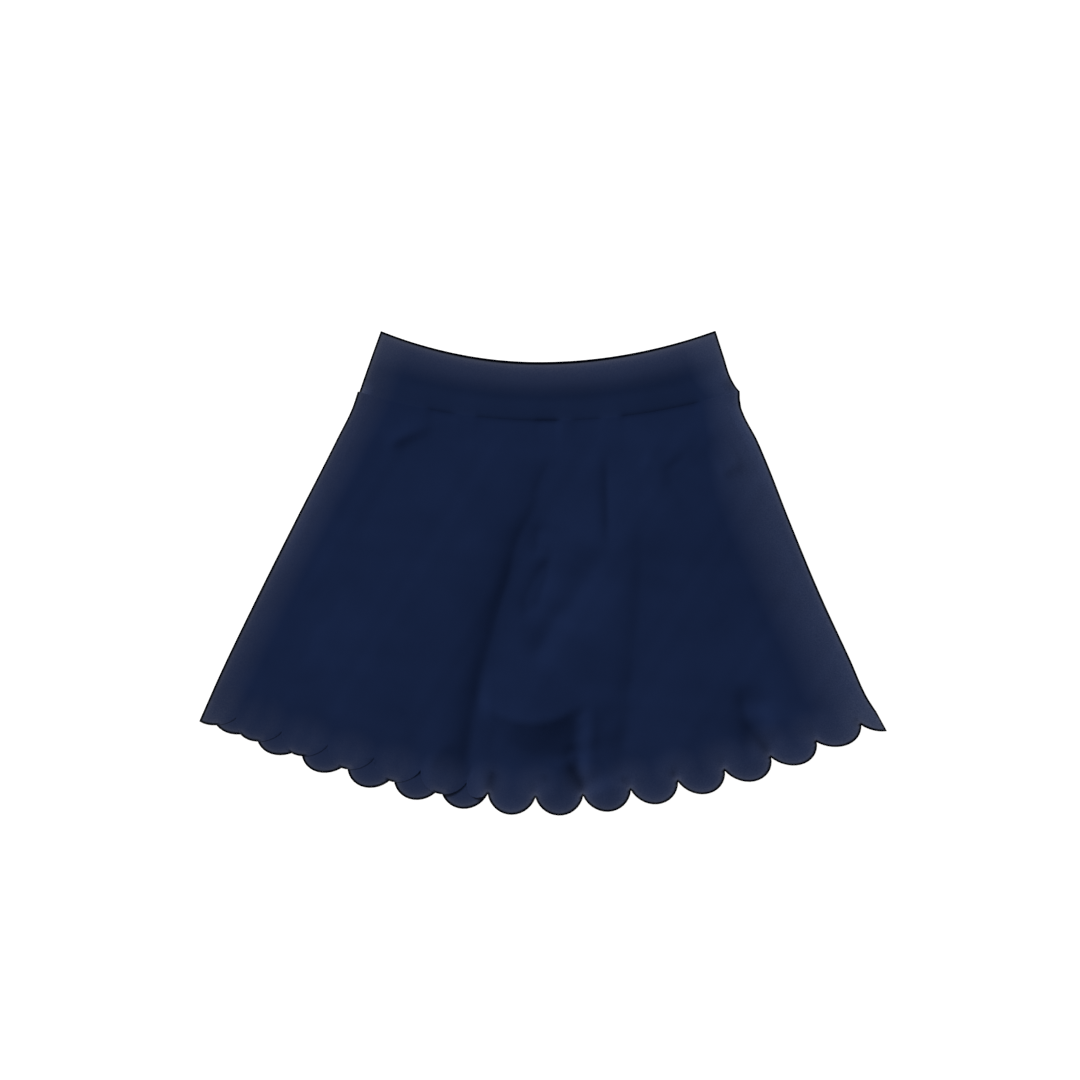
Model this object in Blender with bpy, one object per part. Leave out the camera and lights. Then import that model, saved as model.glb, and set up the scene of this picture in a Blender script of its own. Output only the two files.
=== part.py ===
"""A flared athletic skort in navy stretch knit, laid flat with its front up.

Metres, +Z up. The underside lies on z = 0, the origin is below the middle of the
outline, +X runs to the right of the front panel and +Y towards the waist.

Six cut pieces: two waistband halves, two skirt panels with a scalloped hem, and the
two legs of the plain shorts that hang inside from the same waist seam. Each is a
sheet of points that follows its own outline and folds, thickened to the cloth's wall.
"""

import math

import bpy
import numpy as np

# ---------------------------------------------------------------- driving dimensions
SKIRT_WALL = 0.0012
SHORTS_WALL = 0.0010
BAND_WALL = 0.0024  # double knit round an elastic
GAP = 0.0003  # between pieces that touch or are sewn together

WAIST_CORNER_Y = 0.2311
WAIST_DIP = 0.0308  # the top edge sags this much between its corners
WAIST_DIP_X = -0.0040
WAIST_REACHES = (0.1520, 0.1680)  # from the lowest point to each corner
SEAM_CORNER_Y = 0.1730
SEAM_DIP = 0.0278
SEAM_DIP_X = 0.0038
SEAM_REACHES = (0.1825, 0.1825)
BACK_WAIST_RISE = 0.0012  # the back of the band shows this much above the front

SCALLOP_PITCH = 0.0458
BACK_SCALLOP_PITCH = 0.0457
SCALLOP_DEPTH = 0.0180
LEFT_END_DEPTHS = (0.0145, 0.0170)  # the scallops hang less near a side seam, from it inwards
RIGHT_END_DEPTHS = (0.0165, 0.0135, 0.0160)
FOLD_SCALLOP_DEPTH = 0.0100  # the scallop that is half hidden in the main fold
SCALLOP_LEAN = 0.30  # the scallops lean outwards with the flare, fully at the side seams
SCALLOP_STEPS = 8
NOTCH_CLEARANCE = 0.0040  # from the last inner row of a panel to its notches
PLACE_ROUNDS = 12  # for a row whose place and curve depend on each other
FOLD_LEFT_NOTCH_X = -0.0732  # the main fold hides part of the front hem between these
FOLD_RIGHT_NOTCH_X = -0.0533
BACK_MIDDLE_NOTCH_X = -0.0533

# The skirt's sides, from the corner at the waist seam to the corner of the hem.
SIDE_COLUMNS = ("y", "x")
LEFT_SIDE = (
    (0.1732, -0.1789),
    (0.1596, -0.1832),
    (0.1266, -0.1990),
    (0.0500, -0.2375),
    (-0.0266, -0.2758),
    (-0.1031, -0.3125),
    (-0.1385, -0.3283),
)
RIGHT_SIDE = (
    (0.1732, 0.1880),
    (0.1590, 0.1890),
    (0.1500, 0.1918),
    (0.1266, 0.2040),
    (0.1100, 0.2110),
    (0.0500, 0.2350),
    (-0.0266, 0.2675),
    (-0.0840, 0.2941),
    (-0.1223, 0.3115),
    (-0.1414, 0.3239),
    (-0.1507, 0.3284),
)
# The band's ends stop just inside the skirt's corners.
BAND_LEFT = ((0.2311, -0.1557), (0.2055, -0.1648), (0.1732, -0.1765))
BAND_RIGHT = ((0.2311, 0.1647), (0.2055, 0.1726), (0.1732, 0.1850))

# The line through a hem's notches: y = low + rise * (|x| / reach) ** power.
HEM_COLUMNS = ("low", "rise", "reach", "power")
RIGHT_HEM = (-0.2159, 0.0696, 0.3037, 1.747)
FRONT_LEFT_HEM = (-0.2149, 0.0751, 0.2943, 1.192)
BACK_LEFT_HEM = (-0.2154, 0.0721, 0.2874, 1.872)

# Rows of the panels, as shares of the way from the waist seam to the notches.
FRONT_ROWS = (
    *(0, 0.03, 0.07, 0.12, 0.18, 0.24, 0.30, 0.36, 0.42, 0.48, 0.54),
    *(0.60, 0.66, 0.71, 0.76, 0.80, 0.84, 0.88, 0.93, 1),
)
BACK_ROWS = (0, 0.33, 0.67, 1)
FOLD_COLUMN_SEAM_X = -0.0010  # where the column through the main fold meets the waist

# The inner shorts.
SHORTS_TOP_HALF = 0.1680
SHORTS_HEM_HALF = 0.1900
SHORTS_HEM_Y = -0.1210
SHORTS_HEM_LIFT = 0.0060  # the outer end of a leg's hem is higher than its inner end
CENTRE_X = 0.0036
CROTCH_SHARE = 0.66  # of the way down from the waist seam
INSEAM_HEM_GAP = 0.0080  # from the centre line to a leg's inner fold, at the hem
SHORTS_ROWS = 12
SHORTS_FOLLOW = 0.6  # the shorts' front follows the skirt's folds with this share of their height
SHORTS_CLEAR = 0.0150  # and keeps this far from their steep sides
SHORTS_MARGIN = 0.0020  # the skirt's front starts to come down this far outside the shorts
SHORTS_COLUMNS = 18

# Heights of the front's underside over what lies under it. From left to right the cloth
# rises to a bank, drops steeply into the main valley, rises over a broad lobe and drops
# again into the right valley, whose line fades out towards the waist.
PILLOW = 0.0024
LEAST_LIFT = 0.0005
SIDE_ROLL = 0.1400  # the front comes down to the back within this of a side
HEM_ROLL = 0.0900
HEM_SHARE = 0.62  # of the height is left at the notches
WAIST_ROLL = 0.0850
SIDE_FOLD = 0.0100  # over this, at a side, it comes down past the edge of the shorts
SHORTS_SIDE_FALL = 0.0600
SHORTS_HEM_FALL = 0.0650

VALLEY_COLUMNS = ("y", "x")
MAIN_VALLEY = (
    (0.1074, -0.0040),
    (0.0691, -0.0070),
    (0.0309, -0.0255),
    (-0.0074, -0.0355),
    (-0.0457, -0.0470),
    (-0.0840, -0.0570),
    (-0.1223, -0.0650),
    (-0.1988, -0.0775),
)
RIGHT_VALLEY = (
    (0.0600, 0.0925),
    (0.0117, 0.0920),
    (-0.0457, 0.0890),
    (-0.0840, 0.0845),
    (-0.1223, 0.0805),
    (-0.1700, 0.0745),
)
MAIN_FADE = 0.1200  # the main valley starts at this y and is full as far below it
RIGHT_FADE = (0.0750, 0.0700)  # where the right valley starts, and how far below it is full
LINE_BEND = 0.0040  # a valley's line is rounded this much
BANK = 0.0040
BANK_REACH = 0.0800
MAIN_SOFT_SIDE = 0.0105
WIDE_SHARE = 0.3  # of the main valley's depth closes three times as fast
VALLEY_CUT = 0.85  # of the pillow is missing in the main valley
VALLEY_RETURN = 0.0800  # and is back this far to its right
LOBE = 0.0040
LOBE_RISES = (0.85, 0.45)  # shares of the way between the valleys: above and below the middle
RIGHT_FALL = 0.65
RIGHT_SOFT_SIDE = 0.0130

# The raised middle ends in a curve that sags between its two ends, with a hollow below.
SMILE_END_Y = -0.1290
SMILE_SAG = 0.0175
SMILE_MIDDLE_X = -0.0110
SMILE_HALF = 0.0455
SMILE_FALL = 0.0400
SMILE_SIDE = 0.0120
SMILE_LEFT_SHARE = 0.80  # of the fall is there at the hollow's left end
SHELF = 0.0022  # the edge above the hollow stands out this much
SHELF_REACH = 0.0450

# Narrow ridges and creases: a segment from its upper to its lower end, the height, and how
# fast it falls off on its upper left side (steep) and on the other (soft).
CREASE_COLUMNS = ("x0", "y0", "x1", "y1", "height", "steep", "soft")
CREASES = (
    (-0.0640, -0.1250, -0.0610, -0.2080, 0.0005, 0.0070, 0.0070),
    (0.0450, -0.1200, 0.0420, -0.2080, 0.0008, 0.0060, 0.0080),
    (0.0610, 0.1100, 0.0630, 0.0300, -0.0017, 0.0045, 0.0200),
    (-0.1100, 0.1380, -0.1420, 0.1190, -0.0020, 0.0040, 0.0160),
    (0.1600, 0.1320, 0.1400, 0.1120, -0.0015, 0.0045, 0.0160),
    (0.1400, 0.1120, 0.1130, 0.0930, -0.0015, 0.0045, 0.0160),
    (0.2040, -0.0200, 0.2200, -0.1600, 0.0008, 0.0060, 0.0300),
    (0.0220, -0.1700, 0.0370, -0.2100, -0.0014, 0.0050, 0.0050),
    (-0.2080, -0.1010, -0.2820, -0.1260, -0.0008, 0.0070, 0.0200),
    (-0.2080, 0.0150, -0.2560, -0.0330, -0.0008, 0.0090, 0.0240),
)

# Height of the front band's underside, from its top edge (0) to the seam (1).
BAND_COLUMNS = ("share", "lift")
BAND_PROFILE = (
    (0.0, 0.0000),
    (0.12, 0.0008),
    (0.36, 0.0015),
    (0.70, 0.0005),
    (0.90, 0.0006),
    (1.0, 0.0007),
)
BAND_SPANS = 22

NAVY = (0.0080, 0.0150, 0.0480, 1.0)


# ---------------------------------------------------------------- small helpers
def ease(t):
    """0 below 0, 1 above 1 and a smooth step between."""
    t = np.clip(t, 0.0, 1.0)
    return t * t * (3.0 - 2.0 * t)


def along(table, at):
    """Reads a two-column table as a smooth curve: the second column at a place in the first."""
    keys = np.array([row[0] for row in table])
    values = np.array([row[1] for row in table])
    if keys[0] > keys[-1]:
        keys, values = keys[::-1], values[::-1]
    slopes = np.gradient(values, keys)
    at = np.asarray(at, dtype=float)
    cell = np.clip(np.searchsorted(keys, at) - 1, 0, len(keys) - 2)
    span = keys[cell + 1] - keys[cell]
    t = np.clip((at - keys[cell]) / span, 0.0, 1.0)
    past = at - np.clip(at, keys[0], keys[-1])
    curve = (
        (2 * t**3 - 3 * t**2 + 1) * values[cell]
        + (t**3 - 2 * t**2 + t) * span * slopes[cell]
        + (3 * t**2 - 2 * t**3) * values[cell + 1]
        + (t**3 - t**2) * span * slopes[cell + 1]
    )
    return curve + past * np.where(past > 0, slopes[-1], slopes[0])


def sagging(x, corner_y, dip, dip_x, reaches):
    """A waist line: corner_y at its ends and lower by dip at dip_x."""
    reach = np.where(x < dip_x, reaches[0], reaches[1])
    return corner_y - dip + dip * ((x - dip_x) / reach) ** 2


def waist_y(x):
    return sagging(x, WAIST_CORNER_Y, WAIST_DIP, WAIST_DIP_X, WAIST_REACHES)


def seam_y(x):
    return sagging(x, SEAM_CORNER_Y, SEAM_DIP, SEAM_DIP_X, SEAM_REACHES)


def hem_y(x, left_hem):
    """The line through the notches, with its own curve on each side of the middle."""

    def branch(low, rise, reach, power):
        return low + rise * (np.abs(x) / reach) ** power

    across_fold = ease((x - FOLD_LEFT_NOTCH_X) / (FOLD_RIGHT_NOTCH_X - FOLD_LEFT_NOTCH_X))
    return branch(*left_hem) * (1 - across_fold) + branch(*RIGHT_HEM) * across_fold


# ---------------------------------------------------------------- the scalloped hem
def walk(start_x, pitch, left_hem, past_x):
    """The x of each notch from start_x on, one pitch apart along the hem, to just past past_x."""
    way = 1.0 if past_x > start_x else -1.0
    notches = [start_x]
    while way * (past_x - notches[-1]) > 0:
        x = notches[-1]
        slope = (hem_y(x + way * 0.01, left_hem) - hem_y(x, left_hem)) / 0.01
        notches.append(x + way * pitch / math.hypot(1.0, slope))
    return notches[1:]


def scallop(start, end, depth, from_share, to_share, steps):
    """Points on the round edge that hangs from the notch at start to the notch at end.

    The edge is a circular arc one pitch wide, narrowed where a fold brings its notches
    together, and it leans outwards with the flare of the skirt.
    """
    half_pitch = SCALLOP_PITCH / 2
    radius = (half_pitch**2 + depth**2) / (2 * depth)
    widest = math.asin(half_pitch / radius)
    chord = end - start
    tangent = chord / np.linalg.norm(chord)
    outward = np.array((tangent[1], -tangent[0]))
    lean = SCALLOP_LEAN * (start[0] + end[0]) / 2 / RIGHT_SIDE[-1][1]
    points = []
    for step in range(steps + 1):
        angle = widest * (from_share + (to_share - from_share) * step / steps)
        hang = radius * math.cos(angle) - radius + depth
        across = 0.5 * math.sin(angle) / math.sin(widest)
        points.append((start + end) / 2 + chord * across + (outward + tangent * lean) * hang)
    return points


def cut_share(start, end, depth, side):
    """How far along a scallop, from -1 to 1, the garment's side cuts it."""
    shares = np.linspace(-1, 1, 201)
    points = np.array(scallop(start, end, depth, -1, 1, 200))
    outside = points[:, 0] - along(side, points[:, 1])
    return shares[int(np.argmin(np.abs(outside)))]


def hem_notches(left_start, right_start, pitch, left_hem):
    """The notches from just past the left side seam to just past the right one."""
    lefts = walk(left_start, pitch, left_hem, LEFT_SIDE[-1][1] + NOTCH_CLEARANCE)
    rights = walk(right_start, pitch, left_hem, RIGHT_SIDE[-1][1] - NOTCH_CLEARANCE)
    middle = sorted({left_start, right_start})
    xs = lefts[::-1] + middle + rights
    return [np.array((x, float(hem_y(x, left_hem)))) for x in xs]


def hem_points(notches, folded=None):
    """The scalloped edge between the side seams, and where each point is along the notches.

    folded is the scallop in the main fold.
    """
    depths = [SCALLOP_DEPTH] * (len(notches) - 1)
    depths[: len(LEFT_END_DEPTHS)] = LEFT_END_DEPTHS
    depths[-len(RIGHT_END_DEPTHS) :] = RIGHT_END_DEPTHS[::-1]
    if folded is not None:
        depths[folded] = FOLD_SCALLOP_DEPTH
    edge, spread = [], []
    for number, (start, end, depth) in enumerate(zip(notches[:-1], notches[1:], depths)):
        from_share, to_share, steps = -1, 1, SCALLOP_STEPS
        if number == 0:
            from_share = cut_share(start, end, depth, LEFT_SIDE)
        if number == len(depths) - 1:
            to_share = cut_share(start, end, depth, RIGHT_SIDE)
        if to_share - from_share < 2:
            steps = max(2, round(SCALLOP_STEPS * (to_share - from_share) / 2))
        arc = scallop(start, end, depth, from_share, to_share, steps)
        chord = np.linspace(1 + from_share, 1 + to_share, steps + 1) / 2
        places = list(start[0] + (end[0] - start[0]) * chord)
        edge += arc[1:] if edge else arc
        spread += places[1:] if spread else places
    return np.array(edge), np.array(spread)


# ---------------------------------------------------------------- a panel's grid in plan
def column_shares(spread, fold_follows):
    """Where on the waist seam each column of the hem starts, as a share of the seam."""
    seam_left, seam_right = LEFT_SIDE[0][1], RIGHT_SIDE[0][1]
    hems = [spread[0], spread[-1]]
    seams = [seam_left, seam_right]
    if fold_follows:
        hems.insert(1, (FOLD_LEFT_NOTCH_X + FOLD_RIGHT_NOTCH_X) / 2)
        seams.insert(1, FOLD_COLUMN_SEAM_X)
    at = np.interp(spread, hems, seams)
    return (at - seam_left) / (seam_right - seam_left)


def panel_plan(edge, spread, left_hem, rows, fold_follows):
    """Rows of points from the waist seam to the scalloped edge, each row one per column."""
    inner_y = hem_y(spread, left_hem) + NOTCH_CLEARANCE
    left, right = along(LEFT_SIDE, inner_y), along(RIGHT_SIDE, inner_y)
    low = (spread - left) / (right - left)
    low = (low - low[0]) / (low[-1] - low[0])
    high = column_shares(spread, fold_follows)
    grid = []
    for row in rows:
        share = high + (low - high) * row
        x = LEFT_SIDE[0][1] + (RIGHT_SIDE[0][1] - LEFT_SIDE[0][1]) * share
        for _ in range(PLACE_ROUNDS):
            top = seam_y(x) - GAP
            y = top + (inner_y - top) * row
            left, right = along(LEFT_SIDE, y), along(RIGHT_SIDE, y)
            x = left + (right - left) * share
        grid.append(np.stack((x, y), axis=-1))
    grid.append(edge)
    return np.array(grid)


# ---------------------------------------------------------------- heights
def side_room(x, y):
    """How far a point is inside the nearer side of the garment."""
    return np.minimum(x - along(LEFT_SIDE, y), along(RIGHT_SIDE, y) - x)


def shorts_half(y):
    """Half the shorts' width, from the centre line to an outer fold."""
    share = (SEAM_CORNER_Y - SEAM_DIP - y) / (SEAM_CORNER_Y - SEAM_DIP - SHORTS_HEM_Y)
    return SHORTS_TOP_HALF + (SHORTS_HEM_HALF - SHORTS_TOP_HALF) * share


def shorts_hem_y(x):
    return SHORTS_HEM_Y + SHORTS_HEM_LIFT * (np.abs(x - CENTRE_X) / SHORTS_HEM_HALF) ** 2


def over_shorts(x, y):
    """1 above the inner shorts, falling to 0 outside them and at the garment's sides."""
    beside = np.abs(x - CENTRE_X) - shorts_half(y) - SHORTS_MARGIN
    below = shorts_hem_y(x) - y - SHORTS_MARGIN
    over = (1 - ease(beside / SHORTS_SIDE_FALL)) * (1 - ease(below / SHORTS_HEM_FALL))
    return over * ease(side_room(x, y) / SIDE_FOLD)


def to_line(offset):
    """The offset on the left of a line and 0 on its right, with a rounded corner."""
    return (offset - np.sqrt(offset**2 + LINE_BEND**2)) / 2


def crease(x, y, x0, y0, x1, y1, height, steep, soft):
    """A ridge (or a groove, where height is negative) that fades out at both ends."""
    length = math.hypot(x1 - x0, y1 - y0)
    tx, ty = (x1 - x0) / length, (y1 - y0) / length
    share = ((x - x0) * tx + (y - y0) * ty) / length
    across = (y - y0) * tx - (x - x0) * ty
    fade = ease((share + 0.15) / 0.4) * ease((1.15 - share) / 0.4)
    blend = 0.5 + 0.5 * np.tanh(across / steep)
    width = steep + (soft - steep) * blend
    return height * fade * np.exp(-(np.hypot(across, steep / 2) - steep / 2) / width)


def hollow(x, y):
    """The hollow under the raised middle: how far it has fallen, and the edge above it."""
    edge_y = SMILE_END_Y - SMILE_SAG * (1 - ((x - SMILE_MIDDLE_X) / SMILE_HALF) ** 2)
    from_left = x - SMILE_MIDDLE_X + SMILE_HALF
    from_right = SMILE_MIDDLE_X + SMILE_HALF - x
    sides = ease(0.5 + from_left / SMILE_SIDE), ease(0.5 + from_right / SMILE_SIDE)
    across = np.clip(from_left / (2 * SMILE_HALF), 0, 1)
    inside = (SMILE_LEFT_SHARE * sides[0] + (1 - SMILE_LEFT_SHARE) * across) * sides[1]
    fallen = inside * (1 - (1 - np.clip((edge_y - y) / SMILE_FALL, 0, 1)) ** 1.5)
    shelf = np.exp(-np.maximum(y - edge_y, 0) / SHELF_REACH) * sides[0] * sides[1]
    return fallen, shelf


def lift(x, y):
    """How far the front's underside is above what lies under it."""
    main_x, right_x = along(MAIN_VALLEY, y), along(RIGHT_VALLEY, y)
    main = x - main_x
    main_fade = ease((MAIN_FADE - y) / MAIN_FADE)
    right_fade = ease((RIGHT_FADE[0] - y) / RIGHT_FADE[1])

    near = to_line(main) / MAIN_SOFT_SIDE
    valley = (1 - WIDE_SHARE) * np.exp(near) + WIDE_SHARE * np.exp(near / 3)
    bank = BANK * (np.exp(to_line(main) / BANK_REACH) - valley)
    low = ease((-0.02 - y) / 0.1)
    rise = ease(main / (right_x - main_x) / (LOBE_RISES[0] + (LOBE_RISES[1] - LOBE_RISES[0]) * low))
    drop = RIGHT_FALL * right_fade * np.exp(to_line(x - right_x) / RIGHT_SOFT_SIDE)
    fallen, shelf = hollow(x, y)
    lobe = LOBE * rise * (1 - drop) + SHELF * shelf
    pillow = PILLOW * (1 - VALLEY_CUT * main_fade * valley * (1 - ease(main / VALLEY_RETURN)))

    total = pillow * (1 - 0.6 * fallen) + main_fade * (bank + lobe * (1 - 0.9 * fallen))
    above_hem = y - hem_y(x, FRONT_LEFT_HEM)
    total = total * (HEM_SHARE + (1 - HEM_SHARE) * ease(above_hem / HEM_ROLL))
    for row in CREASES:
        total = total + crease(x, y, *row)
    below_waist = seam_y(x) - y
    at_sides = ease(side_room(x, y) / SIDE_ROLL)
    return np.maximum(total, LEAST_LIFT) * at_sides * ease((below_waist + 0.006) / WAIST_ROLL)


def skirt_front_z(x, y):
    under_shorts = SKIRT_WALL + GAP
    shorts_stack = 2 * (SHORTS_WALL + GAP)
    return under_shorts + shorts_stack * over_shorts(x, y) + lift(x, y)


def shorts_front_lift(x, y):
    """A share of the least lift of the skirt around a point, so that the two never meet."""
    steps = [SHORTS_CLEAR * share for share in (-1, -0.5, 0, 0.5, 1)]
    around = [lift(x + dx, y + dy) for dx in steps for dy in steps]
    return SHORTS_FOLLOW * np.minimum.reduce(around)


# ---------------------------------------------------------------- making the objects
def start_clean():
    for old in list(bpy.data.objects):
        bpy.data.objects.remove(old, do_unlink=True)


def knit_material(name, roughness):
    material = bpy.data.materials.new(name)
    material.use_nodes = True
    shader = material.node_tree.nodes["Principled BSDF"]
    shader.inputs["Base Color"].default_value = NAVY
    shader.inputs["Roughness"].default_value = roughness
    shader.inputs["Metallic"].default_value = 0.0
    return material


def cloth(name, points, faces, wall, material):
    """A piece of cloth: the faces are its inner side and the wall grows along their normals."""
    mesh = bpy.data.meshes.new(name)
    mesh.from_pydata([tuple(map(float, p)) for p in points], [], faces)
    mesh.materials.append(material)
    mesh.shade_smooth()
    piece = bpy.data.objects.new(name, mesh)
    bpy.context.scene.collection.objects.link(piece)
    thicken = piece.modifiers.new("wall", "SOLIDIFY")
    thicken.thickness = wall
    thicken.offset = 1.0
    print(name, len(points), "points,", len(faces), "faces")
    return piece


def grid_faces(rows, columns):
    """Quads over rows that run from the waist down, facing up."""
    faces = []
    for row in range(rows - 1):
        for column in range(columns - 1):
            a = row * columns + column
            faces.append((a, a + columns, a + columns + 1, a + 1))
    return faces


def sheet(name, plan, heights, wall, material):
    rows, columns = plan.shape[:2]
    points = np.concatenate((plan, heights[..., None]), axis=-1).reshape(-1, 3)
    return cloth(name, points, grid_faces(rows, columns), wall, material)


def make_skirt_front(material):
    fold = (FOLD_LEFT_NOTCH_X, FOLD_RIGHT_NOTCH_X)
    notches = hem_notches(*fold, SCALLOP_PITCH, FRONT_LEFT_HEM)
    folded = [notch[0] for notch in notches].index(FOLD_LEFT_NOTCH_X)
    edge, spread = hem_points(notches, folded)
    plan = panel_plan(edge, spread, FRONT_LEFT_HEM, FRONT_ROWS, fold_follows=True)
    heights = skirt_front_z(plan[..., 0], plan[..., 1])
    return sheet("skirt_front", plan, heights, SKIRT_WALL, material)


def make_skirt_back(material):
    middle = (BACK_MIDDLE_NOTCH_X, BACK_MIDDLE_NOTCH_X)
    edge, spread = hem_points(hem_notches(*middle, BACK_SCALLOP_PITCH, BACK_LEFT_HEM))
    plan = panel_plan(edge, spread, BACK_LEFT_HEM, BACK_ROWS, fold_follows=False)
    return sheet("skirt_back", plan, np.zeros(plan.shape[:2]), SKIRT_WALL, material)


def band_plan(rise):
    """The band's grid in plan. rise lifts the middle of its top edge."""
    across = np.linspace(0, 1, BAND_SPANS + 1)
    plan = []
    for share, _ in BAND_PROFILE:
        y = np.full_like(across, SEAM_CORNER_Y)
        for _ in range(PLACE_ROUNDS):
            left, right = along(BAND_LEFT, y), along(BAND_RIGHT, y)
            x = left + (right - left) * across
            top = waist_y(x) + rise * (1 - (2 * across - 1) ** 2)
            y = top + (seam_y(x) - top) * share
        plan.append(np.stack((x, y), axis=-1))
    return np.array(plan)


def make_band_front(material):
    plan = band_plan(0.0)
    lifts = np.array([row[1] for row in BAND_PROFILE])[:, None]
    across = np.linspace(-1, 1, BAND_SPANS + 1)[None, :]
    heights = BAND_WALL + GAP + lifts * (1 - across**6)
    return sheet("waistband_front", plan, heights, BAND_WALL, material)


def make_band_back(material):
    plan = band_plan(BACK_WAIST_RISE)
    return sheet("waistband_back", plan, np.zeros(plan.shape[:2]), BAND_WALL, material)


def shorts_outline(side, share):
    """Outer x, inner x, and the function that gives y from x, at a share of the way down."""
    hem_gap = 0.0016 + (INSEAM_HEM_GAP - 0.0016) * max(0.0, share - CROTCH_SHARE) / (1 - CROTCH_SHARE)
    inner_gap = GAP / 2 if share < CROTCH_SHARE else hem_gap
    middle_y = SEAM_CORNER_Y - SEAM_DIP
    rough_y = middle_y + (SHORTS_HEM_Y - middle_y) * share
    outer = CENTRE_X + side * float(shorts_half(rough_y))
    inner = CENTRE_X + side * inner_gap
    return outer, inner


def make_shorts_leg(name, side, material):
    """One half of the shorts: open along the centre seams, a closed leg below the crotch."""
    shares = sorted([step / SHORTS_ROWS for step in range(SHORTS_ROWS + 1)] + [CROTCH_SHARE])
    crotch_row = shares.index(CROTCH_SHARE)
    back_z = SKIRT_WALL + GAP + SHORTS_WALL
    front_z = back_z + GAP
    points = []
    for share in shares:
        outer, inner = shorts_outline(side, share)
        x = np.linspace(inner, outer, SHORTS_COLUMNS)
        top = seam_y(x) - GAP
        y = top + (shorts_hem_y(x) - top) * share
        z = front_z + shorts_front_lift(x, y)
        fold_out = (outer + side * GAP / 2, y[-1], (z[-1] + back_z) / 2)
        fold_in = (inner - side * GAP / 2, y[0], (z[0] + back_z) / 2)
        points += list(zip(x, y, z))
        points.append(fold_out)
        points += [(a, b, back_z) for a, b in zip(x[::-1], y[::-1])]
        points.append(fold_in)
    ring = 2 * SHORTS_COLUMNS + 2
    faces = []
    for row in range(len(shares) - 1):
        for column in range(ring):
            beyond = (column + 1) % ring
            at_inseam = column >= ring - 2
            if at_inseam and row < crotch_row:
                continue
            a, b = row * ring + column, row * ring + beyond
            quad = (a, a + ring, b + ring, b)
            faces.append(quad if side > 0 else quad[::-1])
    used = sorted({index for face in faces for index in face})
    place = {old: new for new, old in enumerate(used)}
    points = [points[index] for index in used]
    faces = [tuple(place[index] for index in face) for face in faces]
    return cloth(name, points, faces, SHORTS_WALL, material)


def main():
    start_clean()
    band_knit = knit_material("band_knit", 0.62)
    skirt_knit = knit_material("skirt_knit", 0.60)
    shorts_knit = knit_material("shorts_knit", 0.66)
    make_band_front(band_knit)
    make_band_back(band_knit)
    make_skirt_front(skirt_knit)
    make_skirt_back(skirt_knit)
    make_shorts_leg("shorts_left", -1, shorts_knit)
    make_shorts_leg("shorts_right", 1, shorts_knit)


main()
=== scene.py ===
# %% [markdown]
# # A flared athletic skort, laid flat
# This lesson dresses a plain solid model of a stretch-knit skort so that it looks like
# the real garment: a wide band, a skirt with a scalloped hem and shorts hidden inside.
# The solids give every size. Each visible piece is a thin shell made on the same
# outline, with finer folds, and the knit comes from a node material.

# %% Load the solids
import math

import bpy
import numpy as np
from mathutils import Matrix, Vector


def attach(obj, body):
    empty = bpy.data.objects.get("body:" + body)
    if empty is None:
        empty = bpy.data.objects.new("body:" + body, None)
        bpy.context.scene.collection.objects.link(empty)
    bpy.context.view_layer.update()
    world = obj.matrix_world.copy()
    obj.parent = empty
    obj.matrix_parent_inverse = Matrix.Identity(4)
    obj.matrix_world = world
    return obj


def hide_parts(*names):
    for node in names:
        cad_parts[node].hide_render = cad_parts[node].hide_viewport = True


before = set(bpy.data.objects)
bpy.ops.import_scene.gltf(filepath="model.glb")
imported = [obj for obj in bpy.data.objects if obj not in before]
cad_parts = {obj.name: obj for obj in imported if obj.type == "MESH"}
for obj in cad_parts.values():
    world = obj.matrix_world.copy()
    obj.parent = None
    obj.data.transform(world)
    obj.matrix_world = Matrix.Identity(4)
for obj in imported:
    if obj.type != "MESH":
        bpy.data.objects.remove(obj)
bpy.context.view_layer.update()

# %% [markdown]
# ## Sizes
# A garment is cut from flat pieces, so its sizes are those of a pattern: where the waist
# lines dip, how far the sides flare, how the hem curves and how wide each scallop is.
# The tables below have one row for each station that a pattern maker would mark. The
# outline is that of the solids, so that a shell covers its solid exactly.

# %% Pattern sizes, in metres
SKIRT_WALL = 0.0012
SHORTS_WALL = 0.0010
BAND_WALL = 0.0024
GAP = 0.0003

WAIST_CORNER_Y = 0.2311
WAIST_DIP = 0.0308
WAIST_DIP_X = -0.0040
WAIST_REACHES = (0.1520, 0.1680)
SEAM_CORNER_Y = 0.1730
SEAM_DIP = 0.0278
SEAM_DIP_X = 0.0038
SEAM_REACHES = (0.1825, 0.1825)
BACK_WAIST_RISE = 0.0012

SCALLOP_PITCH = 0.0458
BACK_SCALLOP_PITCH = 0.0457
SCALLOP_DEPTH = 0.0180
LEFT_END_DEPTHS = (0.0145, 0.0170)
RIGHT_END_DEPTHS = (0.0165, 0.0135, 0.0160)
FOLD_SCALLOP_DEPTH = 0.0100
SCALLOP_LEAN = 0.30
NOTCH_CLEARANCE = 0.0040
FOLD_LEFT_NOTCH_X = -0.0732
FOLD_RIGHT_NOTCH_X = -0.0533
BACK_MIDDLE_NOTCH_X = -0.0533

# Columns: y, x.
LEFT_SIDE = (
    (0.1732, -0.1780),
    (0.1596, -0.1824),
    (0.1266, -0.1984),
    (0.0500, -0.2375),
    (-0.0266, -0.2758),
    (-0.1031, -0.3125),
    (-0.1385, -0.3283),
)
RIGHT_SIDE = (
    (0.1732, 0.1880),
    (0.1590, 0.1890),
    (0.1500, 0.1924),
    (0.1266, 0.2048),
    (0.1100, 0.2120),
    (0.0500, 0.2356),
    (-0.0266, 0.2675),
    (-0.0840, 0.2941),
    (-0.1223, 0.3115),
    (-0.1414, 0.3239),
    (-0.1507, 0.3284),
)
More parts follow.
